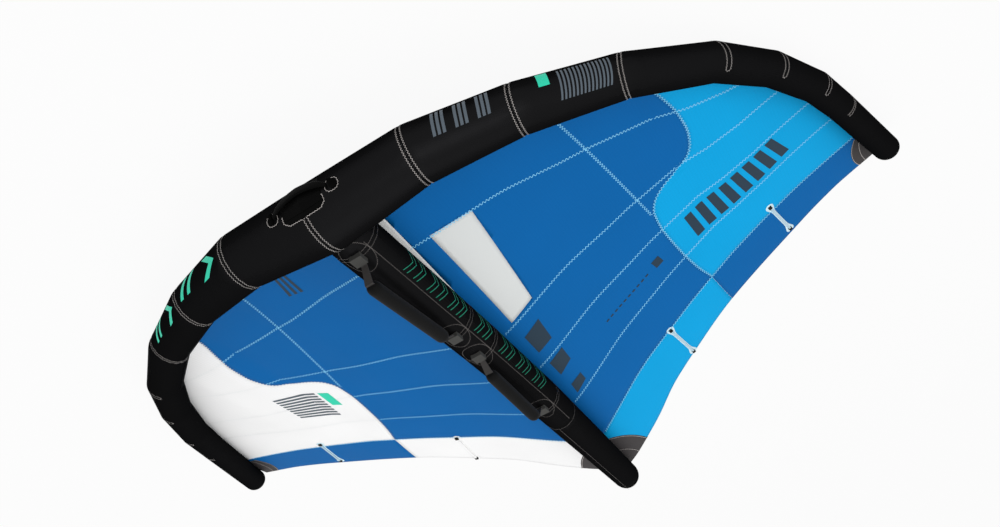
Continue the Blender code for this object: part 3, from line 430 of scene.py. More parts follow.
def make_strut_panel(number, first, last):
    """One panel of the strut's casing, from one seam to the next."""
    starts = [strut_start(t) if first == 0 else STRUT_SEAMS[first] + SEAM_GAP for t in EDGE_TURNS]
    end = STRUT_SEAMS[last] - SEAM_GAP
    length = end - starts[0]
    beside = CINCH_REACH / 2 / length
    outer, inner, uvs = [], [], []
    for share in sorted(spread(0.0, 1.0, math.ceil(length / EDGE_RING_STEP)) + [beside, 1 - beside]):
        places = [(start + (end - start) * share, t) for start, t in zip(starts, EDGE_TURNS)]
        outer.append([on_strut(y, t, seam_draw(y, t, STRUT_RING_SEAMS))[0] for y, t in places])
        inner.append([on_strut(y, t, -CASING_WALL)[0] for y, t in places])
        arcs = ring_uvs(0.0, STRUT_RADII[first])
        uvs.append([(y, arc) for (y, _), (_, arc) in zip(places + places[:1], arcs)])
    closed_shell(f"strut_casing_{number}", outer, inner, uvs, 1, [f"strut_panel_{number}"])


for number, span in enumerate(STRUT_PANELS, start=1):
    make_strut_panel(number, *span)

strut_end, before_end = [Vector((0.0, STRUT_SEAMS[i], STRUT_HEIGHTS[i])) for i in (-1, -2)]
strut_axis = (strut_end - before_end).normalized()
across = Vector((1.0, 0.0, 0.0))
make_cap(
    "strut_casing_end_cap", "strut_end_cap", strut_end, (strut_axis, across, across.cross(strut_axis)),
    STRUT_RADII[-1], STRUT_CAP_DEPTH, STRUT_CAP_FULLNESS, STRUT_SEAMS[-1], STRUT_CAP_STRETCH,
)


# Bladders
# Thin clear polyurethane tubes inside the casings hold the air. Nothing of them shows.
def grained(name, hex_colour, roughness, pattern, size, relief=None, rough=None, on_cut=False, **sockets):
    """A material with one fine pattern of a real size, which raises it or spreads its roughness.

    relief holds a bump's strength and height, and rough the least and the most roughness.
    """
    made, tree, shader = new_material(name, hex_colour, roughness, **sockets)
    if on_cut:
        place = add_node(tree, "ShaderNodeUVMap", {"uv_map": "cut"}).outputs["UV"]
    else:
        place = add_node(tree, "ShaderNodeTexCoord").outputs["Object"]
    grain = add_node(tree, f"ShaderNodeTex{pattern}", None, {"Scale": 1 / size}, {"Vector": place})
    level = grain.outputs["Distance" if pattern == "Voronoi" else "Fac"]
    if relief:
        values = {"Strength": relief[0], "Distance": relief[1]}
        bump = add_node(tree, "ShaderNodeBump", None, values, {"Height": level})
        tree.links.new(bump.outputs["Normal"], shader.inputs["Normal"])
    if rough:
        values = {"To Min": rough[0], "To Max": rough[1]}
        shade = add_node(tree, "ShaderNodeMapRange", None, values, {"Value": level})
        tree.links.new(shade.outputs["Result"], shader.inputs["Roughness"])
    return made


def finish_node(material, *nodes):
    """Gives carried-over pieces their material."""
    for name in nodes:
        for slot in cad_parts[name].material_slots:
            slot.material = material


# Cast polyurethane film: clear, slightly milky and smooth, with clouds about 50 mm across
film = grained("polyurethane_film", "#dfe4e6", 0.25, "Noise", 0.05, (0.2, 0.001), IOR=1.5)
finish_node(film, "leading_edge_bladder", "strut_bladder")


# Canopy
# Ripstop polyester, cut in a main and a tip panel a side with a sewn strip along the trailing edge.
# The strut and the leading edge stretch it tight, with the belly of a sail behind the leading edge.
TAIL_REACH = 0.016
CENTRE_CHORD = STRUT_SEAMS[-1] + STRUT_CAP_DEPTH + TAIL_REACH
ATTACH_TURN = math.radians(60)
ATTACH_TUCK = 0.003
ROOT_GAP = 0.0003
TRAILING_SHARES = (
    (0.0, 1.0), (0.1, 0.949), (0.175, 0.914), (0.266, 0.8615), (0.35, 0.8245), (0.5, 0.7695),
    (0.716, 0.7255), (0.81, 0.7105), (0.88, 0.7045), (1.0, 0.7035),
)
STRIP_SHARES = (
    (0.0, 0.862), (0.1, 0.807), (0.205, 0.7615), (0.35, 0.7135), (0.485, 0.6765),
    (0.675, 0.638), (0.79, 0.6275), (0.94, 0.624), (1.0, 0.623),
)
TIP_SEAM_SHARES = (
    (0.0, 0.548), (0.1, 0.568), (0.18, 0.588), (0.26, 0.600), (0.33, 0.602), (0.4, 0.595), (0.46, 0.578),
    (0.51, 0.538), (0.54, 0.492), (0.57, 0.465), (0.61, 0.451), (0.67, 0.448), (0.79, 0.456),
    (0.91, 0.471), (1.0, 0.489),
)
STRIP_SPLIT_SHARES = ((0.0, 0.488), (1.0, 0.503))
CAMBER_SHARES = ((0.0, 0.047), (0.41, 0.063), (0.55, 0.055), (0.62, 0.028), (0.7, 0.012), (1.0, 0.01))
CAMBER_FRONT_POWER = 0.5
CAMBER_REAR_POWER = 1.5
STRUT_BLEND_SHARE = 0.26
NOSE_FADE_SHARE = 0.05
TIP_DROP_SHARE = 0.289
TIP_END_SHARE = 0.956
STRIP_END_SHARE = 0.981
CLOTH_THICKNESS = 0.0008
PANEL_GAP = 0.0003
SLOPE_STEP = 0.004
MAIN_CELLS = (44, 72)
TIP_CELLS = (40, 56)
STRIP_CELLS = 14


def smooth_in(table, value):
    """Value on a smooth curve through the points of a table that overshoots none of them."""
    if value <= table[0][0]:
        return table[0][1]
    if value >= table[-1][0]:
        return table[-1][1]
    slopes = [(b[1] - a[1]) / (b[0] - a[0]) for a, b in zip(table, table[1:])]
    tangents = [slopes[0]]
    for before, after in zip(slopes, slopes[1:]):
        tangents.append(2 * before * after / (before + after) if before * after > 0 else 0.0)
    tangents.append(slopes[-1])
    i = max(k for k in range(len(table) - 1) if table[k][0] <= value)
    (x0, y0), (x1, y1) = table[i], table[i + 1]
    width = x1 - x0
    t = (value - x0) / width
    ease = t * t * (3 - 2 * t)
    bend = width * t * (1 - t) * (tangents[i] * (1 - t) - tangents[i + 1] * t)
    return y0 + (y1 - y0) * ease + bend


attach = []
for index, centre in enumerate(stations):
    back, down = ring_frame(ring_axis(index))
    out = math.cos(ATTACH_TURN) * back + math.sin(ATTACH_TURN) * down
    attach.append(centre + out * (STATION_RADII[index] - ATTACH_TUCK))
attach_y = [(p.x, p.y) for p in attach]
attach_z = [(p.x, p.z) for p in attach]


def front_edge(x):
    """How far back the cloth starts, at a distance from the middle."""
    return blend_in(attach_y, x)


def trailing_edge(x):
    """How far back the cloth ends."""
    return CENTRE_CHORD * smooth_in(TRAILING_SHARES, x / HALF_SPAN)


def strip_seam(x):
    """How far back the trailing strip starts."""
    return max(CENTRE_CHORD * smooth_in(STRIP_SHARES, x / HALF_SPAN), front_edge(x))


def tip_seam(down):
    """Where the tip panel starts, at a share of the way back along its seam."""
    return HALF_SPAN * smooth_in(TIP_SEAM_SHARES, down)


def strip_split(down):
    """Where the outer strip starts, at a share of the way back across it."""
    return HALF_SPAN * blend_in(STRIP_SPLIT_SHARES, down)


root_line = [(attach[0].y, attach[0].z)]
root_line += [(y, z - r - ROOT_GAP) for y, z, r in zip(STRUT_SEAMS[1:], STRUT_HEIGHTS[1:], STRUT_RADII[1:])]


def cloth_height(x, y):
    """Height of the cloth's strut side at a place on the right half."""
    front = front_edge(x)
    back = trailing_edge(x)
    share = min(max((y - front) / (back - front), 0.0), 1.0)
    tail = root_line[-1][1] - TIP_DROP_SHARE * x
    nose = blend_in(attach_z, x)
    peak_share = CAMBER_FRONT_POWER / (CAMBER_FRONT_POWER + CAMBER_REAR_POWER)
    peak = peak_share**CAMBER_FRONT_POWER * (1 - peak_share) ** CAMBER_REAR_POWER
    bow = share**CAMBER_FRONT_POWER * (1 - share) ** CAMBER_REAR_POWER / peak
    camber = (back - front) * blend_in(CAMBER_SHARES, x / HALF_SPAN)
    free = nose + (tail - nose) * share - camber * bow
    near_nose = max(0.0, 1.0 - (y - front) / (NOSE_FADE_SHARE * CENTRE_CHORD))
    held = blend_in(root_line, y) + (nose - blend_in(root_line, front)) * near_nose
    mix = math.sin(math.pi / 2 * min(x / (STRUT_BLEND_SHARE * HALF_SPAN), 1.0))
    return held + (free - held) * mix


def on_cloth(x, y, lift=0.0):
    """A place on the cloth's strut side and the direction out of it, on either half."""
    side = -1.0 if x < 0 else 1.0
    x = abs(x)
    ahead, behind = x + SLOPE_STEP, max(x - SLOPE_STEP, 0.0)
    rise_x = (cloth_height(ahead, y) - cloth_height(behind, y)) / (ahead - behind)
    rise_y = (cloth_height(x, y + SLOPE_STEP) - cloth_height(x, y - SLOPE_STEP)) / (2 * SLOPE_STEP)
    out = Vector((-side * rise_x, -rise_y, 1.0)).normalized()
    return Vector((side * x, y, cloth_height(x, y))) + out * lift, out


def ripstop(name, hex_colour):
    """Coated ripstop polyester: satin on the coating, with a raised check of thicker threads, and painted
    light and shade of shallow waves over its colour.
    """
    made, tree, shader = new_material(name, hex_colour, 0.55, Specular_IOR_Level=0.05)
    cloth = add_node(tree, "ShaderNodeUVMap", {"uv_map": "cut"}).outputs["UV"]
    base = linear(hex_colour)
    check = add_node(
        tree, "ShaderNodeTexBrick", {"offset": 0.0},
        {"Scale": 1 / 0.010, "Mortar Size": 0.05, "Mortar Smooth": 0.4, "Brick Width": 1.0, "Row Height": 1.0,
         "Color1": base, "Color2": base, "Mortar": (*[c * 0.93 for c in base[:3]], 1.0)},
        {"Vector": cloth},
    )
    # Painted light and shade of long shallow waves in the tight cloth, about 200 mm apart: the colour is
    # scaled 4% up and down.
    soft = add_node(tree, "ShaderNodeTexNoise", None, {"Scale": 1 / 0.2, "Detail": 1.0}, {"Vector": cloth})
    shade = add_node(
        tree, "ShaderNodeMapRange", None, {"To Min": 0.96, "To Max": 1.04}, {"Value": soft.outputs["Fac"]}
    )
    # The check's colour, scaled by the painted light and shade of the waves
    colour = add_node(
        tree, "ShaderNodeVectorMath", {"operation": "SCALE"}, None,
        {"Vector": check.outputs["Color"], "Scale": shade.outputs["Result"]},
    )
    tree.links.new(colour.outputs["Vector"], shader.inputs["Base Color"])
    bump = add_node(
        tree, "ShaderNodeBump", {"invert": True}, {"Strength": 0.2, "Distance": 0.0003},
        {"Height": check.outputs["Fac"]},
    )
    tree.links.new(bump.outputs["Normal"], shader.inputs["Normal"])
    return made


ROYAL_BLUE = ripstop("ripstop_royal_blue", "#0763a9")
LIGHT_BLUE = ripstop("ripstop_light_blue", "#08a3e0")
WHITE = ripstop("ripstop_white", "#fafafa")


def sheet_mesh(name, places, material, side, thickness=CLOTH_THICKNESS, lift=0.0, body="wing", nodes=()):
    """Closed cloth over a grid of places on the right half, thick away from the strut side."""
    upper = [[on_cloth(x, y, lift)[0] for x, y in row] for row in places]
    lower = [[on_cloth(x, y, lift - thickness)[0] for x, y in row] for row in places]
    width, height = len(places[0]), len(places)
    points = [p for row in upper + lower for p in side_of(row, side)]
    start = width * height
    flip = side < 0
    faces, corners = grid(upper, places, False, flip)
    more, more_corners = grid(lower, places, False, not flip, start)
    faces += more
    corners += more_corners
    rim = [(0, j) for j in range(width)] + [(i, width - 1) for i in range(1, height)]
    rim += [(height - 1, j) for j in range(width - 2, -1, -1)] + [(i, 0) for i in range(height - 2, 0, -1)]
    for (i, j), (k, m) in zip(rim, rim[1:] + rim[:1]):
        a, b = i * width + j, k * width + m
        face = [b, a, start + a, start + b]
        uv = [places[k][m], places[i][j], places[i][j], places[k][m]]
        if flip:
            face.reverse()
            uv.reverse()
        faces.append(face)
        corners += uv
    return new_piece(name, points, faces, material, body, corners, nodes)


def panel_places(inboard, outboard, front, back, columns, rows):
    """Places between two spanwise and two chordwise edges, half a gap inside each of them."""
    places = []
    for down in rows:
        first = inboard(down) + PANEL_GAP / 2
        last = outboard(down) - PANEL_GAP / 2
        line = []
        for column in columns:
            x = first + (last - first) * column
            start = front(x) + PANEL_GAP / 2
            end = back(x) - PANEL_GAP / 2
            line.append((x, start + (end - start) * down))
        places.append(line)
    return places


def with_marks(shares, marks):
    """Even shares with some of them moved onto marks, so that a fold falls on a row of the grid."""
    shares = list(shares)
    for mark in marks:
        nearest = min(range(1, len(shares) - 1), key=lambda k: abs(shares[k] - mark))
        shares[nearest] = mark
    return sorted(shares)


def held_at(x):
    """A chordwise edge that keeps its distance from the middle."""
    return lambda down: x


seam_start = TIP_SEAM_SHARES[0][1] * HALF_SPAN
tip_width = TIP_END_SHARE * HALF_SPAN - seam_start
main_columns = with_marks(spread(0.0, 1.0, MAIN_CELLS[0]), [stations[i].x / seam_start for i in (1, 2)])
strip_columns = spread(0.0, 1.0, TIP_CELLS[0])
tip_columns = with_marks(strip_columns, [(stations[i].x - seam_start) / tip_width for i in (4, 5, 6, 7)])
middle = held_at(0.0)
tip_end, strip_end = [held_at(share * HALF_SPAN) for share in (TIP_END_SHARE, STRIP_END_SHARE)]
# Each panel with its node, its colour, its edges inboard, outboard, in front and behind, and its cells
PANELS = (
    ("main", "canopy_main", False, (middle, tip_seam, front_edge, strip_seam), main_columns, MAIN_CELLS[1]),
    ("tip", "canopy_tip", True, (tip_seam, tip_end, front_edge, strip_seam), tip_columns, TIP_CELLS[1]),
    ("inner_strip", "trailing_strip_inner", True, (middle, strip_split, strip_seam, trailing_edge),
     main_columns, STRIP_CELLS),
    ("outer_strip", "trailing_strip_outer", False, (strip_split, strip_end, strip_seam, trailing_edge),
     strip_columns, STRIP_CELLS),
)
cloths = {}
for side, side_name in SIDES:
    for kind, node, has_accent, edges, columns, row_count in PANELS:
        places = panel_places(*edges, columns, spread(0.0, 1.0, row_count))
        accent = WHITE if side > 0 else LIGHT_BLUE
        cloths[kind, side] = sheet_mesh(
            f"cloth_{kind}_{side_name}", places, accent if has_accent else ROYAL_BLUE, side,
            nodes=[f"{node}_{side_name}"],
        )


# Windows
# Clear polyester film sewn into two holes in the left main panel, so that the rider can see through the wing.
WIDE_WINDOW_SHARES = ((0.0725, 0.1775), (0.16, 0.2), (0.129, 0.4235), (0.0605, 0.435))
NARROW_WINDOW_SHARES = ((0.009, 0.075), (0.0425, 0.075), (0.0245, 0.32), (0.009, 0.32))
WINDOW_CELLS = (8, 24)
WINDOW_CUTTER_REACH = 0.05


# Clear polyester film: smooth and slightly milky, with shallow waves about 80 mm across, drawn nearly opaque.
# Its near white stands for the white floor seen through it, and the wide window's greyer copy is painted
# shade from the shadowed floor under the wing.
FILMS = {
    window: grained(
        f"window_film_{tone}", hex_colour, 0.25, "Noise", 0.08, (0.15, 0.001), on_cut=True, IOR=1.5,
        Specular_IOR_Level=0.3, Alpha=0.92,
    )
    for window, tone, hex_colour in (("wide", "painted_shade", "#e2e5e4"), ("narrow", "white", "#f6f7f6"))
}


def quad_places(corners, columns, rows):
    """A grid of places over a quad."""
    places = []
    for j in range(rows + 1):
        down = j / rows
        left = corners[0] + (corners[3] - corners[0]) * down
        right = corners[1] + (corners[2] - corners[1]) * down
        places.append([tuple(place) for place in spread(left, right, columns)])
    return places


def in_sizes(shares):
    """Places from shares of the half span and the chord."""
    return [Vector((x * HALF_SPAN, y * CENTRE_CHORD)) for x, y in shares]


def cut_out(panel, cutter):
    """Cuts the space of a cutter out of a panel and removes the cutter."""
    cut = panel.modifiers.new("opening", "BOOLEAN")
    cut.operation = "DIFFERENCE"
    cut.solver = "EXACT"
    cut.object = cutter
    bpy.ops.object.select_all(action="DESELECT")
    bpy.context.view_layer.objects.active = panel
    bpy.ops.object.modifier_apply(modifier=cut.name)
    bpy.data.objects.remove(cutter)


def cut_window(panel, corners, side):
    """Cuts a window's outline out of a panel."""
    heights = [cloth_height(c.x, c.y) for c in corners]
    levels = (min(heights) - WINDOW_CUTTER_REACH, max(heights) + WINDOW_CUTTER_REACH)
    bm = bmesh.new()
    low, high = [[bm.verts.new(REST @ Vector((side * c.x, c.y, level))) for c in corners] for level in levels]
    for a, b, c, d in zip(low, low[1:] + low[:1], high[1:] + high[:1], high):
        bm.faces.new((a, b, c, d))
    bm.faces.new(low)
    bm.faces.new(high)
    bmesh.ops.recalc_face_normals(bm, faces=bm.faces)
    mesh = bpy.data.meshes.new("window_cutter")
    bm.to_mesh(mesh)
    bm.free()
    cutter = bpy.data.objects.new("window_cutter", mesh)
    bpy.context.scene.collection.objects.link(cutter)
    cut_out(panel, cutter)


def mirrored(sample, side):
    """A place and the direction out of it, taken over to the other half where side is negative."""
    return tuple(Vector((side * v.x, v.y, v.z)) for v in sample)


def laid_flat(name, quads, material, place_at, lift, cells=8):
    """Thin flat shapes on a surface: quads of places on it, each divided so that it follows the surface."""
    points, faces = [], []
    row = cells + 1
    for corners in quads:
        a, b, c, d = [Vector(corner) for corner in corners]
        start = len(points)
        for j in range(row):
            for i in range(row):
                place, out = place_at(*a.lerp(d, j / cells).lerp(b.lerp(c, j / cells), i / cells))
                points.append(place + out * lift)
        across, down = points[start + 1] - points[start], points[start + row] - points[start]
        turned = across.cross(down).dot(out) < 0
        for j in range(cells):
            for i in range(cells):
                k = start + j * row + i
                face = [k, k + 1, k + row + 1, k + row]
                faces.append(face[::-1] if turned else face)
    return new_piece(name, points, faces, material)


def cloth_place(side, under=False):
    """Finds places and directions out of the cloth on one half, on the strut side or under it."""
    def place_at(x, y):
        place, out = mirrored(on_cloth(x, y, -CLOTH_THICKNESS if under else 0.0), side)
        return place, -out if under else out
    return place_at


for window, shares in (("wide", WIDE_WINDOW_SHARES), ("narrow", NARROW_WINDOW_SHARES)):
    corners = in_sizes(shares)
    cut_window(cloths["main", -1], corners, -1)
    pane = sheet_mesh(
        f"pane_{window}_left", quad_places(corners, *WINDOW_CELLS), FILMS[window], -1,
        nodes=[f"window_{window}_left"],
    )


# Seam stitching
# Zig-zag rows of polyester thread join the panels: light blue on the canopy, pale grey on the tubes.
STITCH_LIFT = 0.0006
SEAM_STEP = 0.006
# Pitch, swing and thread width of each kind of row
CANOPY_STITCH = (0.0112, 0.0088, 0.0022)
TUBE_STITCH = (0.0066, 0.0038, 0.0014)
STRUT_STITCH = (0.0050, 0.0022, 0.0012)
SPAN_SEAM_SHARES = {
    1: (
        ((0.117, 0.1874), (0.4063, 0.2554), (0.5739, 0.276)),
        ((0.1284, 0.4294), (0.3378, 0.4168), (0.5582, 0.386)),
        ((0.0291, 0.5714), (0.2214, 0.5369), (0.4753, 0.4957)),
        ((0.0358, 0.7085), (0.304, 0.63), (0.4601, 0.5917)),
    ),
    -1: (
        ((0.0328, 0.1716), (0.3705, 0.2465), (0.7082, 0.3237)),
        ((0.0335, 0.4461), (0.413, 0.4109), (0.7925, 0.4005)),
        ((0.0291, 0.5714), (0.4428, 0.4999), (0.8566, 0.4724)),
        ((0.0358, 0.7085), (0.4659, 0.5866), (0.8961, 0.5438)),
    ),
}
CHORD_SEAM_SHARES = {
    1: ((0.1479, 0.3645), (0.4092, 0.432), (0.6754, 0.4787)),
    -1: ((0.1, 0.3765), (0.425, 0.43845), (0.75, 0.5004)),
}
CHORD_SEAM_SPAN = (0.08, 0.78)
STRIP_SEAM_SPAN = (0.034, 0.936)
SEAM_FIRST_SHARE = 0.032
SEAM_MEETING = 0.010
SEAM_END_GAP = 0.006
LINE_STEPS = 160
RING_STEPS = 90
DOUBLE_ROWS = (-0.00525, 0.00525)
# The seam in the middle stops at the strut and at the handle's pad
MIDDLE_SEAM_DEG = ((38.0, 186.0), (221.0, 322.0))
OUTER_SEAM_DEG = (120.0, 268.0)
DART_DEG = (108.0, 252.0)
DART_WIDTH = 0.015
DART_SIDE_STEPS = 40
DART_END_STEPS = 12
STRUT_DOUBLE_SEAMS = (0.12, 0.567, 0.707, 1.12)
STRUT_DOUBLE_ROWS = (-0.0065, 0.0065)
STRUT_SINGLE_SEAM = 1.25
STRUT_LONG_SEAMS = ((126.0, 0.10, 1.23), (75.0, 1.25, 1.84))
STRUT_LONG_STEPS = 120
STRUT_RING_DEG = (-60.0, 240.0)

# Bonded polyester thread: twisted filament with a dull shine, whose twist is about 2 mm long
LIGHT_BLUE_THREAD, WHITE_THREAD, GREY_THREAD, DARK_GREY_THREAD, PALE_THREAD = [
    grained(f"thread_{tone}", hex_colour, 0.5, "Noise", 0.002, rough=(0.42, 0.6), Specular_IOR_Level=0.15)
    for tone, hex_colour in (
        ("light_blue", "#86d4fb"), ("white", "#f2f4f4"), ("pale_grey", "#a9a4a1"),
        ("mid_grey", "#6d6967"), ("silver_grey", "#c6c0bc"),
    )
]


def zigzag(samples, pitch, swing, width, start):
    """A flat zig-zag ribbon along samples of place and outward direction. Its points count from start."""
    lengths = [0.0]
    for (a, _), (b, _) in zip(samples, samples[1:]):
        lengths.append(lengths[-1] + (b - a).length)
    count = max(int(lengths[-1] / (pitch / 2)), 2)
    points = []
    at = 0
    for k in range(count + 1):
        distance = lengths[-1] * k / count
        while at < len(lengths) - 2 and lengths[at + 1] < distance:
            at += 1
        share = (distance - lengths[at]) / max(lengths[at + 1] - lengths[at], 1e-9)
        place = samples[at][0].lerp(samples[at + 1][0], share)
        out = samples[at][1].lerp(samples[at + 1][1], share).normalized()
        ahead = (samples[at + 1][0] - samples[at][0]).normalized()
        across = out.cross(ahead).normalized()
        corner = place + across * (swing / 2 if k % 2 else -swing / 2)
        points += [corner - ahead * width / 2, corner + ahead * width / 2]
    faces = [(a, a + 1, a + 3, a + 2) for a in range(start, start + 2 * count, 2)]
    return points, faces


def stitch(name, rows, material, kind):
    """One piece that holds several rows of stitching of one kind."""
    points, faces = [], []
    for samples in rows:
        more, more_faces = zigzag(samples, *kind, len(points))
        points += more
        faces += more_faces
    return new_piece(name, points, faces, material, smooth=False)


def parabola(points, value):
    """Value on the parabola through three points."""
    total = 0.0
    for x, y in points:
        for other, _ in points:
            if other != x:
                y *= (value - other) / (x - other)
        total += y
    return total


def cloth_sample(x, y, side, under=False):
    """A place for a stitch on the cloth, and the direction out of it."""
    place, out = cloth_place(side, under)(x, y)
    return place + out * STITCH_LIFT, out


def span_row(seam):
    """Places along a seam from the strut towards the tip, as far as the leading edge."""
    places = []
    x = SEAM_FIRST_SHARE * HALF_SPAN
    while x < HALF_SPAN:
        y = parabola(seam, x / HALF_SPAN) * CENTRE_CHORD
        if y < front_edge(x) + SEAM_END_GAP:
            break
        places.append((x, y))
        x += SEAM_STEP
    return places


def tip_edge(x, y):
    """Where the tip panel starts on the spanwise line through a place."""
    start, end = front_edge(x), strip_seam(x)
    return tip_seam(min(max((y - start) / (end - start), 0.0), 1.0))


def canopy_lines(side):
    """Places along each seam of one half: those inboard, on the strip too, and those on the tip panel."""
    main, tip = [], []
    for seam in SPAN_SEAM_SHARES[side]:
        line = span_row(seam)
        main.append([(x, y) for x, y in line if x <= tip_edge(x, y)])
        tip.append([(x, y) for x, y in line if x > tip_edge(x, y)])
    line = []
    for share in spread(*CHORD_SEAM_SPAN, LINE_STEPS):
        x, y = parabola(CHORD_SEAM_SHARES[side], share) * HALF_SPAN, CENTRE_CHORD * share
        if x > tip_edge(x, y) - SEAM_MEETING:
            break
        if y > front_edge(x) + SEAM_END_GAP:
            line.append((x, y))
    main.append(line)
    line = []
    for down in spread(0.0, 1.0, LINE_STEPS):
        x = tip_seam(down)
        line.append((x, front_edge(x) + (strip_seam(x) - front_edge(x)) * down))
    tip.append(line)
    line = [HALF_SPAN * share for share in spread(*STRIP_SEAM_SPAN, LINE_STEPS)]
    main.append([(x, strip_seam(x)) for x in line])
    return main, tip


def edge_sample(along, turn, side, drawn=True):
    """A place for a stitch on the tube; the drawn ones follow the bow of the ring seams."""
    lift = STITCH_LIFT + seam_draw(along, turn, EDGE_SEAMS)
    return mirrored(on_edge(bowed(along, turn) if drawn else along, turn, lift), side)


def ring_row(along, side, first_deg=0.0, last_deg=360.0):
    """A row of stitching round the tube."""
    return [edge_sample(along, math.radians(turn), side) for turn in spread(first_deg, last_deg, RING_STEPS)]


def dart_row(along, side):
    """A stitched loop with round ends over the outer side of the tube."""
    radius = DART_WIDTH / 2
    tube = blend_in(list(zip(run_starts, STATION_RADII)), along)
    samples = []
    for (first, last), way in ((DART_DEG, 1), (DART_DEG[::-1], -1)):
        for turn_deg in spread(first, last, DART_SIDE_STEPS)[:-1]:
            samples.append(edge_sample(along + way * radius, math.radians(turn_deg), side))
        for bend in spread(0.0, math.pi, DART_END_STEPS)[:-1]:
            turn = math.radians(last) + way * math.sin(bend) * radius / tube
            samples.append(edge_sample(along + way * radius * math.cos(bend), turn, side))
    return samples + samples[:1]


def strut_sample(y, turn_deg):
    """A place for a stitch on the strut, and the direction out of it."""
    turn = math.radians(turn_deg)
    return on_strut(y, turn, STITCH_LIFT + seam_draw(y, turn, STRUT_RING_SEAMS))


for side, side_name in SIDES:
    for under, face in ((False, "strut"), (True, "sky")):
        for panel, lines in zip(("main", "tip"), canopy_lines(side)):
            stitch(
                f"canopy_stitching_{panel}_{face}_{side_name}",
                [[cloth_sample(x, y, side, under) for x, y in line] for line in lines if len(line) > 1],
                WHITE_THREAD if side > 0 and panel == "tip" else LIGHT_BLUE_THREAD, CANOPY_STITCH,
            )
    rows = [ring_row(run_starts[i] + offset, side) for i in (1, 2, 3) for offset in DOUBLE_ROWS]
    rows += [ring_row(DOUBLE_ROWS[1], side, *turns) for turns in MIDDLE_SEAM_DEG]
    rows += [dart_row(run_starts[i], side) for i in (4, 5, 6)]
    rows += [ring_row(run_starts[7] + offset, side, *OUTER_SEAM_DEG) for offset in DOUBLE_ROWS]
    stitch(f"edge_stitching_{side_name}", rows, GREY_THREAD, TUBE_STITCH)

ring_places = [y + offset for y in STRUT_DOUBLE_SEAMS for offset in STRUT_DOUBLE_ROWS]
rows = [
    [strut_sample(y, turn_deg) for turn_deg in spread(*STRUT_RING_DEG, RING_STEPS)]
    for y in ring_places + [STRUT_SINGLE_SEAM]
]
for turn_deg, first, last in STRUT_LONG_SEAMS:
    rows.append([strut_sample(y, turn_deg) for y in spread(first, last, STRUT_LONG_STEPS)])
stitch("strut_stitching", rows, DARK_GREY_THREAD, STRUT_STITCH)


# Battens
# Flat fibreglass rods in white webbing sleeves stiffen the trailing edge. Each end is a moulded stop.
BATTEN_END_SHARES = {
    "inner": ((0.3295, 0.719), (0.347, 0.8225)),
    "outer": ((0.6872, 0.621), (0.7135, 0.7165)),
}
SLEEVE_END_WIDTH = 0.031
SLEEVE_MIDDLE_WIDTH = 0.0125
SLEEVE_FLARE = 0.032
SLEEVE_BASE_THICKNESS = 0.0004
SLEEVE_BASE_GAP = 0.0001
SLEEVE_OVERHANG = 0.009
SLEEVE_TOP = 0.0052
SLEEVE_STEPS = 28
SLEEVE_BLUNTNESS = 0.02
BATTEN_STITCH_SPAN = (0.15, 0.85)
BATTEN_STITCH_STEPS = 20
BATTEN_STITCH = (0.0050, 0.0022, 0.0014)


def webbing(name, hex_colour, roughness=0.75, shine=0.2):
    """Woven nylon webbing: dull, with ribs 2 mm apart, drawn about 4.6 mm apart so that they show."""
    made, tree, shader = new_material(name, hex_colour, roughness, Specular_IOR_Level=shine)
    place = add_node(tree, "ShaderNodeTexCoord")
    rib = add_node(
        tree, "ShaderNodeTexWave", {"bands_direction": "DIAGONAL"},
        {"Scale": WAVE_PERIOD / 0.004, "Distortion": 0.6}, {"Vector": place.outputs["Object"]},
    )
    bump = add_node(
        tree, "ShaderNodeBump", None, {"Strength": 0.4, "Distance": 0.0004}, {"Height": rib.outputs["Fac"]}
    )
    tree.links.new(bump.outputs["Normal"], shader.inputs["Normal"])
    return made


def moulded_plastic(name, hex_colour, roughness, shine=0.5):
    """Injection-moulded nylon: even colour with a fine spark-eroded grain."""
    return grained(name, hex_colour, roughness, "Noise", 0.0012, (0.3, 0.0002), Specular_IOR_Level=shine)


WHITE_WEBBING = webbing("nylon_webbing_white", "#f8f8f8")
PALE_BLUE_WEBBING = webbing("nylon_webbing_pale_blue", "#dcf4fc")
BLUE_GREY_WEBBING = webbing("nylon_webbing_blue_grey", "#b4ccd8")
BLACK_PLASTIC = moulded_plastic("moulded_black_nylon", "#121212", 0.5, 0.1)


def eased(steps):
    """Shares from 0 to 1, closer together towards both ends."""
    return [(1 - math.cos(turn)) / 2 for turn in spread(0.0, math.pi, steps)]


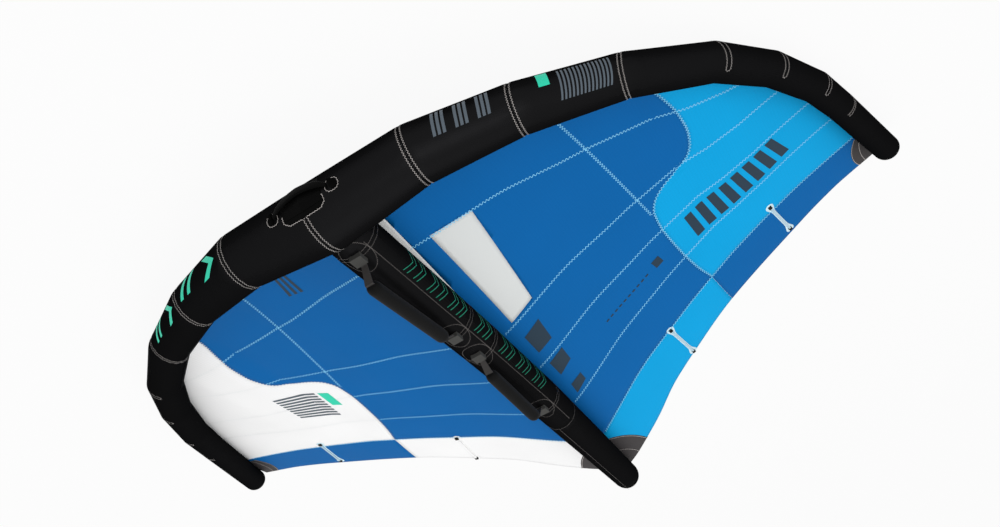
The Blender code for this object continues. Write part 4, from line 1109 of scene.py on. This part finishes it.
def make_batten(place, ends, side, side_name):
    """The cloth base of a batten's sleeve, wide and round at both ends, and the row of stitching over it."""
    front, back = in_sizes(ends)
    along = (back - front).normalized()
    across = Vector((-along.y, along.x))
    length = (back - front).length
    places = []
    for share in eased(SLEEVE_STEPS):
        distance = -SLEEVE_OVERHANG + (length + 2 * SLEEVE_OVERHANG) * share
        from_end = SLEEVE_OVERHANG + min(distance, length - distance)
        flare = math.exp(-((from_end / SLEEVE_FLARE) ** 3))
        half = (SLEEVE_MIDDLE_WIDTH + (SLEEVE_END_WIDTH - SLEEVE_MIDDLE_WIDTH) * flare) / 2
        inward = min(from_end / (SLEEVE_END_WIDTH / 2), 1.0)
        half *= math.sqrt(max(1 - (1 - inward) ** 2, SLEEVE_BLUNTNESS))
        spot = front + along * distance
        places.append([tuple(spot + across * half * w) for w in (1.0, 0.5, 0.0, -0.5, -1.0)])
    on_white = place == "inner" and side > 0
    base, cover = (WHITE_WEBBING, WHITE_WEBBING) if on_white else (PALE_BLUE_WEBBING, BLUE_GREY_WEBBING)
    lift = SLEEVE_BASE_THICKNESS + SLEEVE_BASE_GAP
    sheet_mesh(f"batten_patch_{place}_{side_name}", places, base, side, SLEEVE_BASE_THICKNESS, lift)
    finish_node(BLACK_PLASTIC, f"batten_{place}_{side_name}")
    finish_node(cover, f"batten_sleeve_{place}_{side_name}")
    line = [front + along * (length * share) for share in spread(*BATTEN_STITCH_SPAN, BATTEN_STITCH_STEPS)]
    stitch(
        f"batten_stitching_{place}_{side_name}",
        [[mirrored(on_cloth(spot.x, spot.y, SLEEVE_TOP), side) for spot in line]],
        DARK_GREY_THREAD if on_white else WHITE_THREAD, BATTEN_STITCH,
    )


for side, side_name in SIDES:
    for place, ends in BATTEN_END_SHARES.items():
        make_batten(place, ends, side, side_name)


# Reinforcement patches
# Dark grey sticky-back sailcloth spreads the load where the tips and the strut's tail hold the canopy.
TIP_FAN_CENTRE = (1.006, 0.670)
TIP_FAN_REACH = 0.116
TIP_FAN_FRONT = 1.180
TAIL_FAN_REACH = (0.156, 0.243)
TAIL_FAN_FIRST_DEG = 8.0
TAIL_FAN_LAST_DEG = 74.0
TAIL_FAN_BACK_SHARE = 0.997
PATCH_EDGE_INSET = 0.0006
PATCH_THICKNESS = 0.0005
PATCH_GAP = 0.0002
PATCH_ARC_SHARES = (0.975, 0.6)
PATCH_ARC_STEPS = 40
PATCH_STITCH = (0.0066, 0.0019, 0.0036)
FAN_FIRST_SHARE = 0.02
FAN_CELLS = (12, 24)
TAIL_FAN_INSIDE_SHARE = 0.4
TIP_FAN_STEP = 0.0005


# Insignia sailcloth: dense dark polyester with a matt face and a weave of about 2 mm
PATCH_CLOTH = grained("insignia_sailcloth_dark", "#353132", 0.7, "Noise", 0.002, (0.25, 0.0003), on_cut=True)


def inside_cloth(x, y):
    """A place moved onto the cloth, just inside its front and trailing edges."""
    low, high = front_edge(x) + PATCH_EDGE_INSET, trailing_edge(x) - PATCH_EDGE_INSET
    return x, min(max(y, low), high)


def tail_place(share, turn_deg):
    """A place on the fan about the strut's tail, at a share of its reach."""
    turn = math.radians(turn_deg)
    x, y = math.sin(turn) * TAIL_FAN_REACH[0] * share, math.cos(turn) * TAIL_FAN_REACH[1] * share
    least = STRUT_RADII[-1] * TAIL_FAN_INSIDE_SHARE
    return inside_cloth(max(x, least), TAIL_FAN_BACK_SHARE * CENTRE_CHORD - y)


def tip_place(share, down):
    """A place on the tip's fan, from its curved inner edge, where share is 1, to the end of the strip."""
    centre = in_sizes([TIP_FAN_CENTRE])[0]
    y = TIP_FAN_FRONT + (trailing_edge(TIP_END_SHARE * HALF_SPAN) - TIP_FAN_FRONT) * down
    arc = centre.x - math.sqrt(max(TIP_FAN_REACH**2 - (y - centre.y) ** 2, 0.0))
    end = STRIP_END_SHARE * HALF_SPAN - PATCH_EDGE_INSET
    x = end + (arc - end) * share
    while front_edge(x) > y and x > arc:
        x -= TIP_FAN_STEP
    return inside_cloth(x, y)


FANS = {
    "tail": (tail_place, TAIL_FAN_FIRST_DEG, TAIL_FAN_LAST_DEG),
    "tip": (tip_place, 0.0, 1.0),
}
for side, side_name in SIDES:
    for kind, (place_at, first, last) in FANS.items():
        places = [
            [place_at(share, around) for around in spread(first, last, FAN_CELLS[1])]
            for share in spread(FAN_FIRST_SHARE, 1.0, FAN_CELLS[0])
        ]
        lift = PATCH_THICKNESS + PATCH_GAP
        sheet_mesh(
            f"patch_{kind}_{side_name}", places, PATCH_CLOTH, side, PATCH_THICKNESS, lift,
            nodes=[f"{kind}_patch_{side_name}"],
        )
        rows = []
        for share in PATCH_ARC_SHARES:
            line = [place_at(share, around) for around in spread(first, last, PATCH_ARC_STEPS)]
            rows.append([mirrored(on_cloth(x, y, lift + STITCH_LIFT), side) for x, y in line])
        stitch(f"patch_stitching_{kind}_{side_name}", rows, PALE_THREAD, PATCH_STITCH)


# Printed motifs
# Screen-printed ink on the casings and the canopy: slanted bars, hatched frames and diamonds, in grey,
# dark grey and mint.
INK_LIFT = 0.0008
EDGE_BAR_STARTS = (0.306, 0.357, 0.408)
MINT_ROW = ((0.300, 197.0), (0.418, 190.0), (0.538, 204.0), (0.668, 196.0))
STRUT_ROW = (0.250, 0.355, 0.455, 0.596, 0.735, 0.840, 0.945)
CHEVRON_OFFSETS = (0.0, 0.016, 0.044, 0.060)
CHEVRON_LINE = 0.0026
CHEVRON_REACH = 0.024

# Screen ink: flat colour, a little smoother than the cloth under it, clouded every 4 mm
MINT_INK, GREEN_INK, GREY_INK, DARK_INK = [
    grained(f"screen_ink_{tone}", hex_colour, 0.45, "Noise", 0.004, rough=(0.4, 0.5), Specular_IOR_Level=0.15)
    for tone, hex_colour in (
        ("mint", "#30d7b2"), ("green", "#1f8f70"), ("grey", "#59636c"), ("dark", "#263a4a"),
    )
]


def tube_place(side):
    """Finds places on the leading edge from a distance along it and a turn in degrees."""
    def place_at(along, turn_deg):
        return mirrored(on_edge(along, math.radians(turn_deg)), side)
    return place_at


def strut_place(y, turn_deg):
    """Finds places on the strut from a distance along it and a turn in degrees."""
    return on_strut(y, math.radians(turn_deg))


def bars_in(corners, count, fill):
    """Parallel bars that fill part of a quad."""
    a, b, c, d = [Vector(corner) for corner in corners]
    bars = []
    for k in range(count):
        start, end = k / count, (k + fill) / count
        bars.append((a.lerp(b, start), a.lerp(b, end), d.lerp(c, end), d.lerp(c, start)))
    return bars


# Leading edge, left half: groups of slanted bars. A place on a tube is a distance along it and a turn.
edge_bars = []
for start in EDGE_BAR_STARTS:
    quad = ((start, 216.0), (start + 0.034, 216.0), (start + 0.052, 161.0), (start + 0.018, 161.0))
    edge_bars += bars_in(quad, 3, 0.62)

# Leading edge, right half: a row of mint chevrons, in two halves each, and pairs of bars.
mint_shapes = []
for number, (along, turn) in enumerate(MINT_ROW):
    for up in (-1, 1):
        if number % 2 == 0:
            mint_shapes.append((
                (along + 0.034, turn + 23 * up), (along + 0.008, turn + 23 * up),
                (along - 0.034, turn), (along - 0.008, turn),
            ))
        else:
            middle = along + 0.019 * up
            mint_shapes.append((
                (middle - 0.020, turn - 22), (middle - 0.004, turn - 22),
                (middle + 0.020, turn + 22), (middle + 0.004, turn + 22),
            ))

# Strut, left side: nested outlined chevrons between the ring seams.
chevrons = []
for y in [start + offset for start in STRUT_ROW for offset in CHEVRON_OFFSETS]:
    for turn in (198.0, 134.0):
        chevrons.append((
            (y, turn), (y + CHEVRON_LINE, turn),
            (y + CHEVRON_LINE + CHEVRON_REACH, 166.0), (y + CHEVRON_REACH, 166.0),
        ))

# Canopy, left half: a row of slanted bars, a small square with a dashed line, and three diamonds.
cloth_shapes = bars_in(((0.674, 0.950), (1.030, 0.893), (1.069, 0.990), (0.683, 1.057)), 8, 0.62)
cloth_shapes += [((0.515, 1.020), (0.545, 1.013), (0.552, 1.047), (0.522, 1.054))]
cloth_shapes += bars_in(((0.295, 1.104), (0.497, 1.044), (0.498, 1.050), (0.296, 1.110)), 10, 0.55)
cloth_shapes += [
    ((0.077, 0.900), (0.145, 0.877), (0.136, 0.984), (0.075, 1.001)),
    ((0.075, 1.076), (0.138, 1.052), (0.134, 1.124), (0.075, 1.159)),
    ((0.077, 1.231), (0.127, 1.210), (0.126, 1.253), (0.073, 1.289)),
]

# Hatched blocks, each with a mint piece beside it, and slats near the front of the right canopy.
edge_block = bars_in(((0.600, 240.0), (0.742, 240.0), (0.764, 166.0), (0.622, 166.0)), 14, 0.5)
edge_mint = [((0.560, 200.0), (0.588, 200.0), (0.600, 158.0), (0.572, 158.0))]
slats = bars_in(((0.318, 0.249), (0.360, 0.238), (0.394, 0.350), (0.334, 0.352)), 3, 0.5)
tip_block = bars_in(((0.838, 0.800), (0.838, 0.960), (0.712, 1.025), (0.700, 0.850)), 9, 0.55)
tip_mint = [((0.690, 0.856), (0.694, 0.945), (0.663, 0.960), (0.657, 0.872))]
for name, shapes, colour, place_at in (
    ("edge_bars_left", edge_bars, GREY_INK, tube_place(-1)),
    ("edge_block_left", edge_block, GREY_INK, tube_place(-1)),
    ("edge_mint_left", edge_mint, MINT_INK, tube_place(-1)),
    ("edge_row_right", mint_shapes, MINT_INK, tube_place(1)),
    ("strut_row", chevrons, GREEN_INK, strut_place),
    ("cloth_left", cloth_shapes, DARK_INK, cloth_place(-1)),
    ("cloth_right", slats, DARK_INK, cloth_place(1)),
    ("tip_block_right", tip_block, GREY_INK, cloth_place(1)),
    ("tip_mint_right", tip_mint, MINT_INK, cloth_place(1)),
):
    laid_flat(f"print_{name}", shapes, colour, place_at, INK_LIFT)


# Strut handles
# A firm foam grip is moulded round a strip of grey webbing, whose ends are sewn down in webbing anchors.
ANCHOR_PLACES = {"front": (0.126, 0.560), "rear": (0.687, 1.092)}
GRIP_ENDS = {"front": (0.158, 0.503), "rear": (0.733, 1.020)}
GRIP_HEIGHTS = {"front": (0.062, 0.038), "rear": (0.036, 0.065)}
GRIP_INSET = 0.006
GRIP_RADIUS = 0.019
GRIP_FLATNESS = 0.97
GRIP_END_ROUND = 0.020
GRIP_END_SHARE = 0.45
GRIP_SIDES = 40
GRIP_STEPS = 60
ANCHOR_OVAL_REACH = 0.057
ANCHOR_OVAL_SPREAD_DEG = 35.0
ANCHOR_OVAL_STEPS = 60


# Closed-cell EVA foam: near black, matt, with fine pores about 2 mm apart
FOAM = grained(
    "eva_foam_black", "#101010", 0.7, "Voronoi", 0.0022, (0.35, 0.0004), Specular_IOR_Level=0.06,
    Sheen_Weight=0.04,
)
GREY_WEBBING = webbing("nylon_webbing_grey", "#3b3938")
ANCHOR_WEBBING = webbing("nylon_webbing_mid_grey", "#41413f")


def loft(name, rows, uvs, material, body="wing", flip=True, replaces=()):
    """A solid through rings of points, closed at both ends."""
    width = len(rows[0])
    faces, corners = grid(rows, uvs, True, flip)
    for row, reverse in ((0, not flip), (len(rows) - 1, flip)):
        close_end(faces, corners, row * width, width, uvs[row][0], reverse)
    return new_piece(name, [p for row in rows for p in row], faces, material, body, corners, replaces)


def make_grip(handle):
    """A round grip over the webbing between a handle's ends, set in from them and drawn in at its own."""
    ends = [Vector((0.0, y, strut_top(y) + h)) for y, h in zip(GRIP_ENDS[handle], GRIP_HEIGHTS[handle])]
    axis = (ends[1] - ends[0]).normalized()
    across = Vector((1.0, 0.0, 0.0))
    up = across.cross(axis)
    length = (ends[1] - ends[0]).length - 2 * GRIP_INSET
    rows, uvs = [], []
    for share in eased(GRIP_STEPS):
        distance = length * share
        edge = min(distance, length - distance)
        swell = math.sqrt(max(0.0, 1 - max(0.0, 1 - edge / GRIP_END_ROUND) ** 2))
        radius = GRIP_RADIUS * (GRIP_END_SHARE + (1 - GRIP_END_SHARE) * swell)
        centre = ends[0] + axis * GRIP_INSET + axis * distance
        rows.append([
            centre + (math.cos(t) * across + math.sin(t) * up * GRIP_FLATNESS) * radius
            for t in spread(0.0, 2 * math.pi, GRIP_SIDES)[:-1]
        ])
        uvs.append(ring_uvs(distance, GRIP_RADIUS, GRIP_SIDES))
    nodes = [f"{handle}_handle_grip"]
    grip = loft(f"{handle}_grip_foam", rows, uvs, FOAM, f"{handle}_handle", replaces=nodes)


rows = []
for handle, anchors in ANCHOR_PLACES.items():
    make_grip(handle)
    finish_node(GREY_WEBBING, f"{handle}_handle_webbing")
    finish_node(ANCHOR_WEBBING, f"{handle}_handle_anchor_front", f"{handle}_handle_anchor_rear")
    for y in anchors:
        rows.append([
            strut_sample(y + ANCHOR_OVAL_REACH * math.cos(turn), 90 + ANCHOR_OVAL_SPREAD_DEG * math.sin(turn))
            for turn in spread(0.0, 2 * math.pi, ANCHOR_OVAL_STEPS)
        ])
stitch("anchor_patch_stitching", rows, DARK_GREY_THREAD, STRUT_STITCH)


# Handle on the leading edge
# A padded strap is sewn between two tabs at the front, over a stitched black pad, to carry the wing by.
FRONT_HALF = 0.074
FRONT_ANGLE_DEG = 16.0
FRONT_MIDDLE_ANGLE_DEG = -5.0
FRONT_MIDDLE_HEIGHT = 0.0064
FRONT_PIVOT = 0.0075
FRONT_THICKNESS = 0.008
FRONT_WIDTH = 0.026
FRONT_FOOT_THICKNESS = 0.005
FRONT_FOOT_WIDTH = 0.012
FRONT_STEPS = 80
FRONT_SIDES = 28
FRONT_POWERS = (0.6, 0.8)
ARCH_SHARES = ((0.0, 0.0), (0.08, 0.14), (0.2, 0.40), (0.4, 0.66), (0.7, 0.90), (1.0, 1.0))
TAB_LENGTH = 0.0165
TAB_WIDTH = 0.026
TAB_HEIGHT = 0.0132
TAB_SINK = 0.002
TAB_STEPS = 20
TAB_POWER = 0.7
TAB_FOOT_NARROWING = 0.25
TAB_FOOT_SHARE = 0.04
TAB_BLUNTNESS = 0.01
TAB_SLOPE_POWER = 1.5
TAB_LOOP_PLACE = 0.0775
TAB_LOOP_REACH = 0.0155
TAB_LOOP_SPREAD_DEG = 10.5
TAB_LOOP_DEG = 196.0
TAB_LOOP_STEPS = 48
PAD_OUTLINE = (
    (-0.052, 203.0), (-0.047, 197.5), (0.047, 197.5), (0.052, 203.0), (0.052, 213.0), (0.040, 219.5),
    (-0.040, 219.5), (-0.052, 213.0), (-0.052, 203.0),
)
PAD_FACES = (
    ((-0.052, 188.0), (0.052, 188.0), (0.052, 213.0), (-0.052, 213.0)),
    ((-0.052, 213.0), (0.052, 213.0), (0.040, 219.5), (-0.040, 219.5)),
)
PAD_SIDE_STEPS = 12
PAD_CELLS = 16
FRONT_STITCH = (0.0066, 0.0024, 0.0017)

# Neoprene with a knitted nylon face: soft black, slightly fuzzy, with loops drawn 1.6 mm apart
NEOPRENE = grained(
    "neoprene_black", "#090909", 0.5, "Voronoi", 0.0016, (0.3, 0.0003), on_cut=True, Specular_IOR_Level=0.02
)
BLACK_WEBBING = webbing("nylon_webbing_black", "#0b0b0b", 0.6, 0.0)


def front_facing(angle_deg):
    """The direction out of the tube's front at an angle over the level, and the one square to it, upwards."""
    angle = math.radians(angle_deg)
    return Vector((0.0, -math.cos(angle), math.sin(angle))), Vector((0.0, math.sin(angle), math.cos(angle)))


def rounded(turn, power, other_power):
    """A place on a square with round corners, from -1 to 1 both ways."""
    a, b = math.cos(turn), math.sin(turn)
    return math.copysign(abs(a) ** power, a), math.copysign(abs(b) ** other_power, b)


FRONT_TURNS = spread(0.0, 2 * math.pi, FRONT_SIDES)[:-1]


def make_front_strap():
    """The padded strap, which rises from a narrow foot at each end and arches over its pad."""
    outward, tangent = front_facing(FRONT_ANGLE_DEG)
    centre = directions[0] * FRONT_HALF
    radius = STATION_RADII[0] + (STATION_RADII[1] - STATION_RADII[0]) * (FRONT_HALF / RUN_LENGTHS[0])
    foot = outward * (centre.dot(outward) + radius + FRONT_PIVOT) + tangent * centre.dot(tangent)
    middle_outward, _ = front_facing(FRONT_MIDDLE_ANGLE_DEG)
    reach = middle_outward * (STATION_RADII[0] + FRONT_MIDDLE_HEIGHT) - foot
    rows, uvs = [], []
    for turn in spread(0.0, math.pi, FRONT_STEPS):
        along = -math.cos(turn)
        rise = smooth_in(ARCH_SHARES, 1 - abs(along))
        facing, beside = front_facing(FRONT_ANGLE_DEG + (FRONT_MIDDLE_ANGLE_DEG - FRONT_ANGLE_DEG) * rise)
        place = foot + Vector(((FRONT_HALF - PANEL_GAP) * along, 0.0, 0.0)) + reach * rise
        half_width = (FRONT_FOOT_WIDTH + (FRONT_WIDTH - FRONT_FOOT_WIDTH) * rise) / 2
        half_deep = (FRONT_FOOT_THICKNESS + (FRONT_THICKNESS - FRONT_FOOT_THICKNESS) * rise) / 2
        shape = [rounded(t, *FRONT_POWERS) for t in FRONT_TURNS]
        rows.append([place + beside * a * half_width + facing * b * half_deep for a, b in shape])
        uvs.append(ring_uvs(along * FRONT_HALF, half_width, FRONT_SIDES))
    nodes = ["leading_edge_handle_strap"]
    strap = loft("front_carry_strap", rows, uvs, NEOPRENE, "leading_edge_handle", replaces=nodes)


def make_front_tab(side, side_name):
    """A folded webbing tab: as high as the strap's foot beside it, and flat at its round outer end."""
    rows, uvs = [], []
    for share in eased(TAB_STEPS):
        along = FRONT_HALF + PANEL_GAP + TAB_LENGTH * share
        place, out = on_edge(along, math.radians(TAB_LOOP_DEG))
        tangent = out.cross(directions[0]).normalized()
        narrowing = 1 - TAB_FOOT_NARROWING * math.exp(-((share / TAB_FOOT_SHARE) ** 2))
        round_off = math.sqrt(max(1 - share**3, TAB_BLUNTNESS)) * narrowing
        half_width = TAB_WIDTH / 2 * round_off
        height = TAB_SINK + TAB_HEIGHT * (1 - share**TAB_SLOPE_POWER) * round_off
        row = []
        for turn in FRONT_TURNS:
            a, b = rounded(turn, TAB_POWER, TAB_POWER)
            row.append(place + tangent * a * half_width + out * (height * (1 + b) / 2 - TAB_SINK))
        rows.append(side_of(row, side))
        uvs.append(ring_uvs(along, half_width, FRONT_SIDES))
    nodes = [f"leading_edge_handle_tab_{side_name}"]
    loft(f"front_tab_{side_name}", rows, uvs, BLACK_WEBBING, flip=side > 0, replaces=nodes)


def front_place(x, turn_deg):
    """A place on the tube's front, on either half, and the direction out of it."""
    return mirrored(on_edge(abs(x), math.radians(turn_deg)), -1 if x < 0 else 1)


make_front_strap()
finish_node(NEOPRENE, "leading_edge_handle_pad")
rows = []
for side, side_name in SIDES:
    make_front_tab(side, side_name)
    line = []
    for turn in spread(0.0, 2 * math.pi, TAB_LOOP_STEPS):
        along = TAB_LOOP_PLACE + TAB_LOOP_REACH * rounded(turn, TAB_POWER, TAB_POWER)[0]
        turn_deg = TAB_LOOP_DEG + TAB_LOOP_SPREAD_DEG * math.sin(turn)
        line.append(edge_sample(along, math.radians(turn_deg), side, False))
    rows.append(line)
line = []
for start, end in zip(PAD_OUTLINE, PAD_OUTLINE[1:]):
    for x, turn_deg in spread(Vector(start), Vector(end), PAD_SIDE_STEPS)[:-1]:
        line.append(edge_sample(abs(x), math.radians(turn_deg), -1 if x < 0 else 1, False))
rows.append(line + line[:1])
laid_flat("front_handle_pad_face", PAD_FACES, NEOPRENE, front_place, STITCH_LIFT / 2, PAD_CELLS)
stitch("front_handle_stitching", rows, PALE_THREAD, FRONT_STITCH)


# Valve, hose and clip
# A moulded rubber inflation valve is clamped in the casing behind the strut's right side. Its plug cap
# swings on an ear. A short hose feeds the strut, and a pinch clip shuts it.
VALVE_PLACE = 0.17
VALVE_TURN = math.radians(15.0)
VALVE_HOLE_RADIUS = 0.0168
VALVE_HOLE_REACH = 0.02

valve_seat, valve_out = on_edge(VALVE_PLACE, VALVE_TURN)
bpy.ops.object.select_all(action="DESELECT")
bpy.ops.mesh.primitive_cylinder_add(
    vertices=48, radius=VALVE_HOLE_RADIUS, depth=2 * VALVE_HOLE_REACH, location=REST @ valve_seat,
    rotation=(REST.to_3x3() @ valve_out).to_track_quat("Z", "Y").to_euler(),
)
cut_out(bpy.data.objects["edge_casing_centre_right"], bpy.context.object)

RUBBER = moulded_plastic("moulded_grey_rubber", "#3b3c3d", 0.6)
finish_node(RUBBER, "valve_base", "valve_cap", "hose_clip_lever")
finish_node(moulded_plastic("moulded_white_acetal", "#e4e4e0", 0.4), "valve_plunger")
finish_node(BLACK_PLASTIC, "air_hose", "hose_clip_body")


# Camera, floor and light
# The wing lies on a white floor under a soft even light, seen from in front and above its left side.
CAMERA_PLACE = (-0.7531, -1.0812, 1.3992)
CAMERA_RIGHT = (-0.8468, 0.4886, 0.2101)
CAMERA_DOWN = (0.4718, 0.5077, 0.7208)
FOCAL_PIXELS = 825.18
IMAGE_WIDTH = 1000
SENSOR = 36.0
FLOOR_SIZE = 60.0
FLOOR_GLOW = 0.93
SKY_STRENGTH = 0.77
# Each lamp's place, target, width in metres and power in watts
LAMPS = {
    "front_softbox": ((-2.3, -3.2, 2.7), (-0.1, -0.1, 0.2), 2.4, 44.0),
    "top_softbox": ((0.5, 0.3, 3.6), (0.0, 0.0, 0.1), 3.6, 30.0),
}

right = (REST.to_3x3() @ Vector(CAMERA_RIGHT)).normalized()
down = REST.to_3x3() @ Vector(CAMERA_DOWN)
down = (down - right * down.dot(right)).normalized()
ahead = right.cross(down)
camera_data = bpy.data.cameras.new("camera")
camera_data.sensor_width = SENSOR
camera_data.lens = FOCAL_PIXELS / IMAGE_WIDTH * SENSOR
camera = bpy.data.objects.new("camera", camera_data)
bpy.context.scene.collection.objects.link(camera)
turn = Matrix((right, -down, -ahead)).transposed().to_4x4()
camera.matrix_world = Matrix.Translation(REST @ Vector(CAMERA_PLACE)) @ turn
bpy.context.scene.camera = camera

bpy.ops.object.select_all(action="DESELECT")
bpy.ops.mesh.primitive_plane_add(size=FLOOR_SIZE, location=(0.0, 0.0, 0.0))
floor = bpy.context.object
floor.name = "floor"
# Matt white paper that takes shadows, and glows where it is looked at so that it stays an even white
paper, tree, shader = new_material("white_floor", "#d2d2d2", 0.9)
glow = add_node(tree, "ShaderNodeEmission", None, {"Color": (1.0, 1.0, 1.0, 1.0), "Strength": 1.0})
rays = add_node(tree, "ShaderNodeLightPath")
seen = rays.outputs["Is Camera Ray"]
for ray in ("Is Glossy Ray", "Is Transmission Ray"):
    either = add_node(tree, "ShaderNodeMath", {"operation": "MAXIMUM"}, None, {0: seen, 1: rays.outputs[ray]})
    seen = either.outputs["Value"]
share = add_node(tree, "ShaderNodeMath", {"operation": "MULTIPLY"}, {1: FLOOR_GLOW}, {0: seen})
mixed = add_node(
    tree, "ShaderNodeMixShader", None, None,
    {0: share.outputs["Value"], 1: shader.outputs["BSDF"], 2: glow.outputs["Emission"]},
)
tree.links.new(mixed.outputs["Shader"], tree.nodes["Material Output"].inputs["Surface"])
floor.data.materials.append(paper)

world = bpy.context.scene.world or bpy.data.worlds.new("soft_sky")
bpy.context.scene.world = world
world.use_nodes = True
sky = world.node_tree.nodes["Background"]
sky.inputs["Color"].default_value = (1.0, 1.0, 1.0, 1.0)
sky.inputs["Strength"].default_value = SKY_STRENGTH

for name, (place, target, size, power) in LAMPS.items():
    light = bpy.data.lights.new(name, "AREA")
    light.shape = "SQUARE"
    light.size = size
    light.energy = power
    lamp = bpy.data.objects.new(name, light)
    bpy.context.scene.collection.objects.link(lamp)
    lamp.location = place
    lamp.rotation_euler = (Vector(target) - Vector(place)).to_track_quat("-Z", "Y").to_euler()
bpy.context.scene.view_settings.view_transform = "Standard"
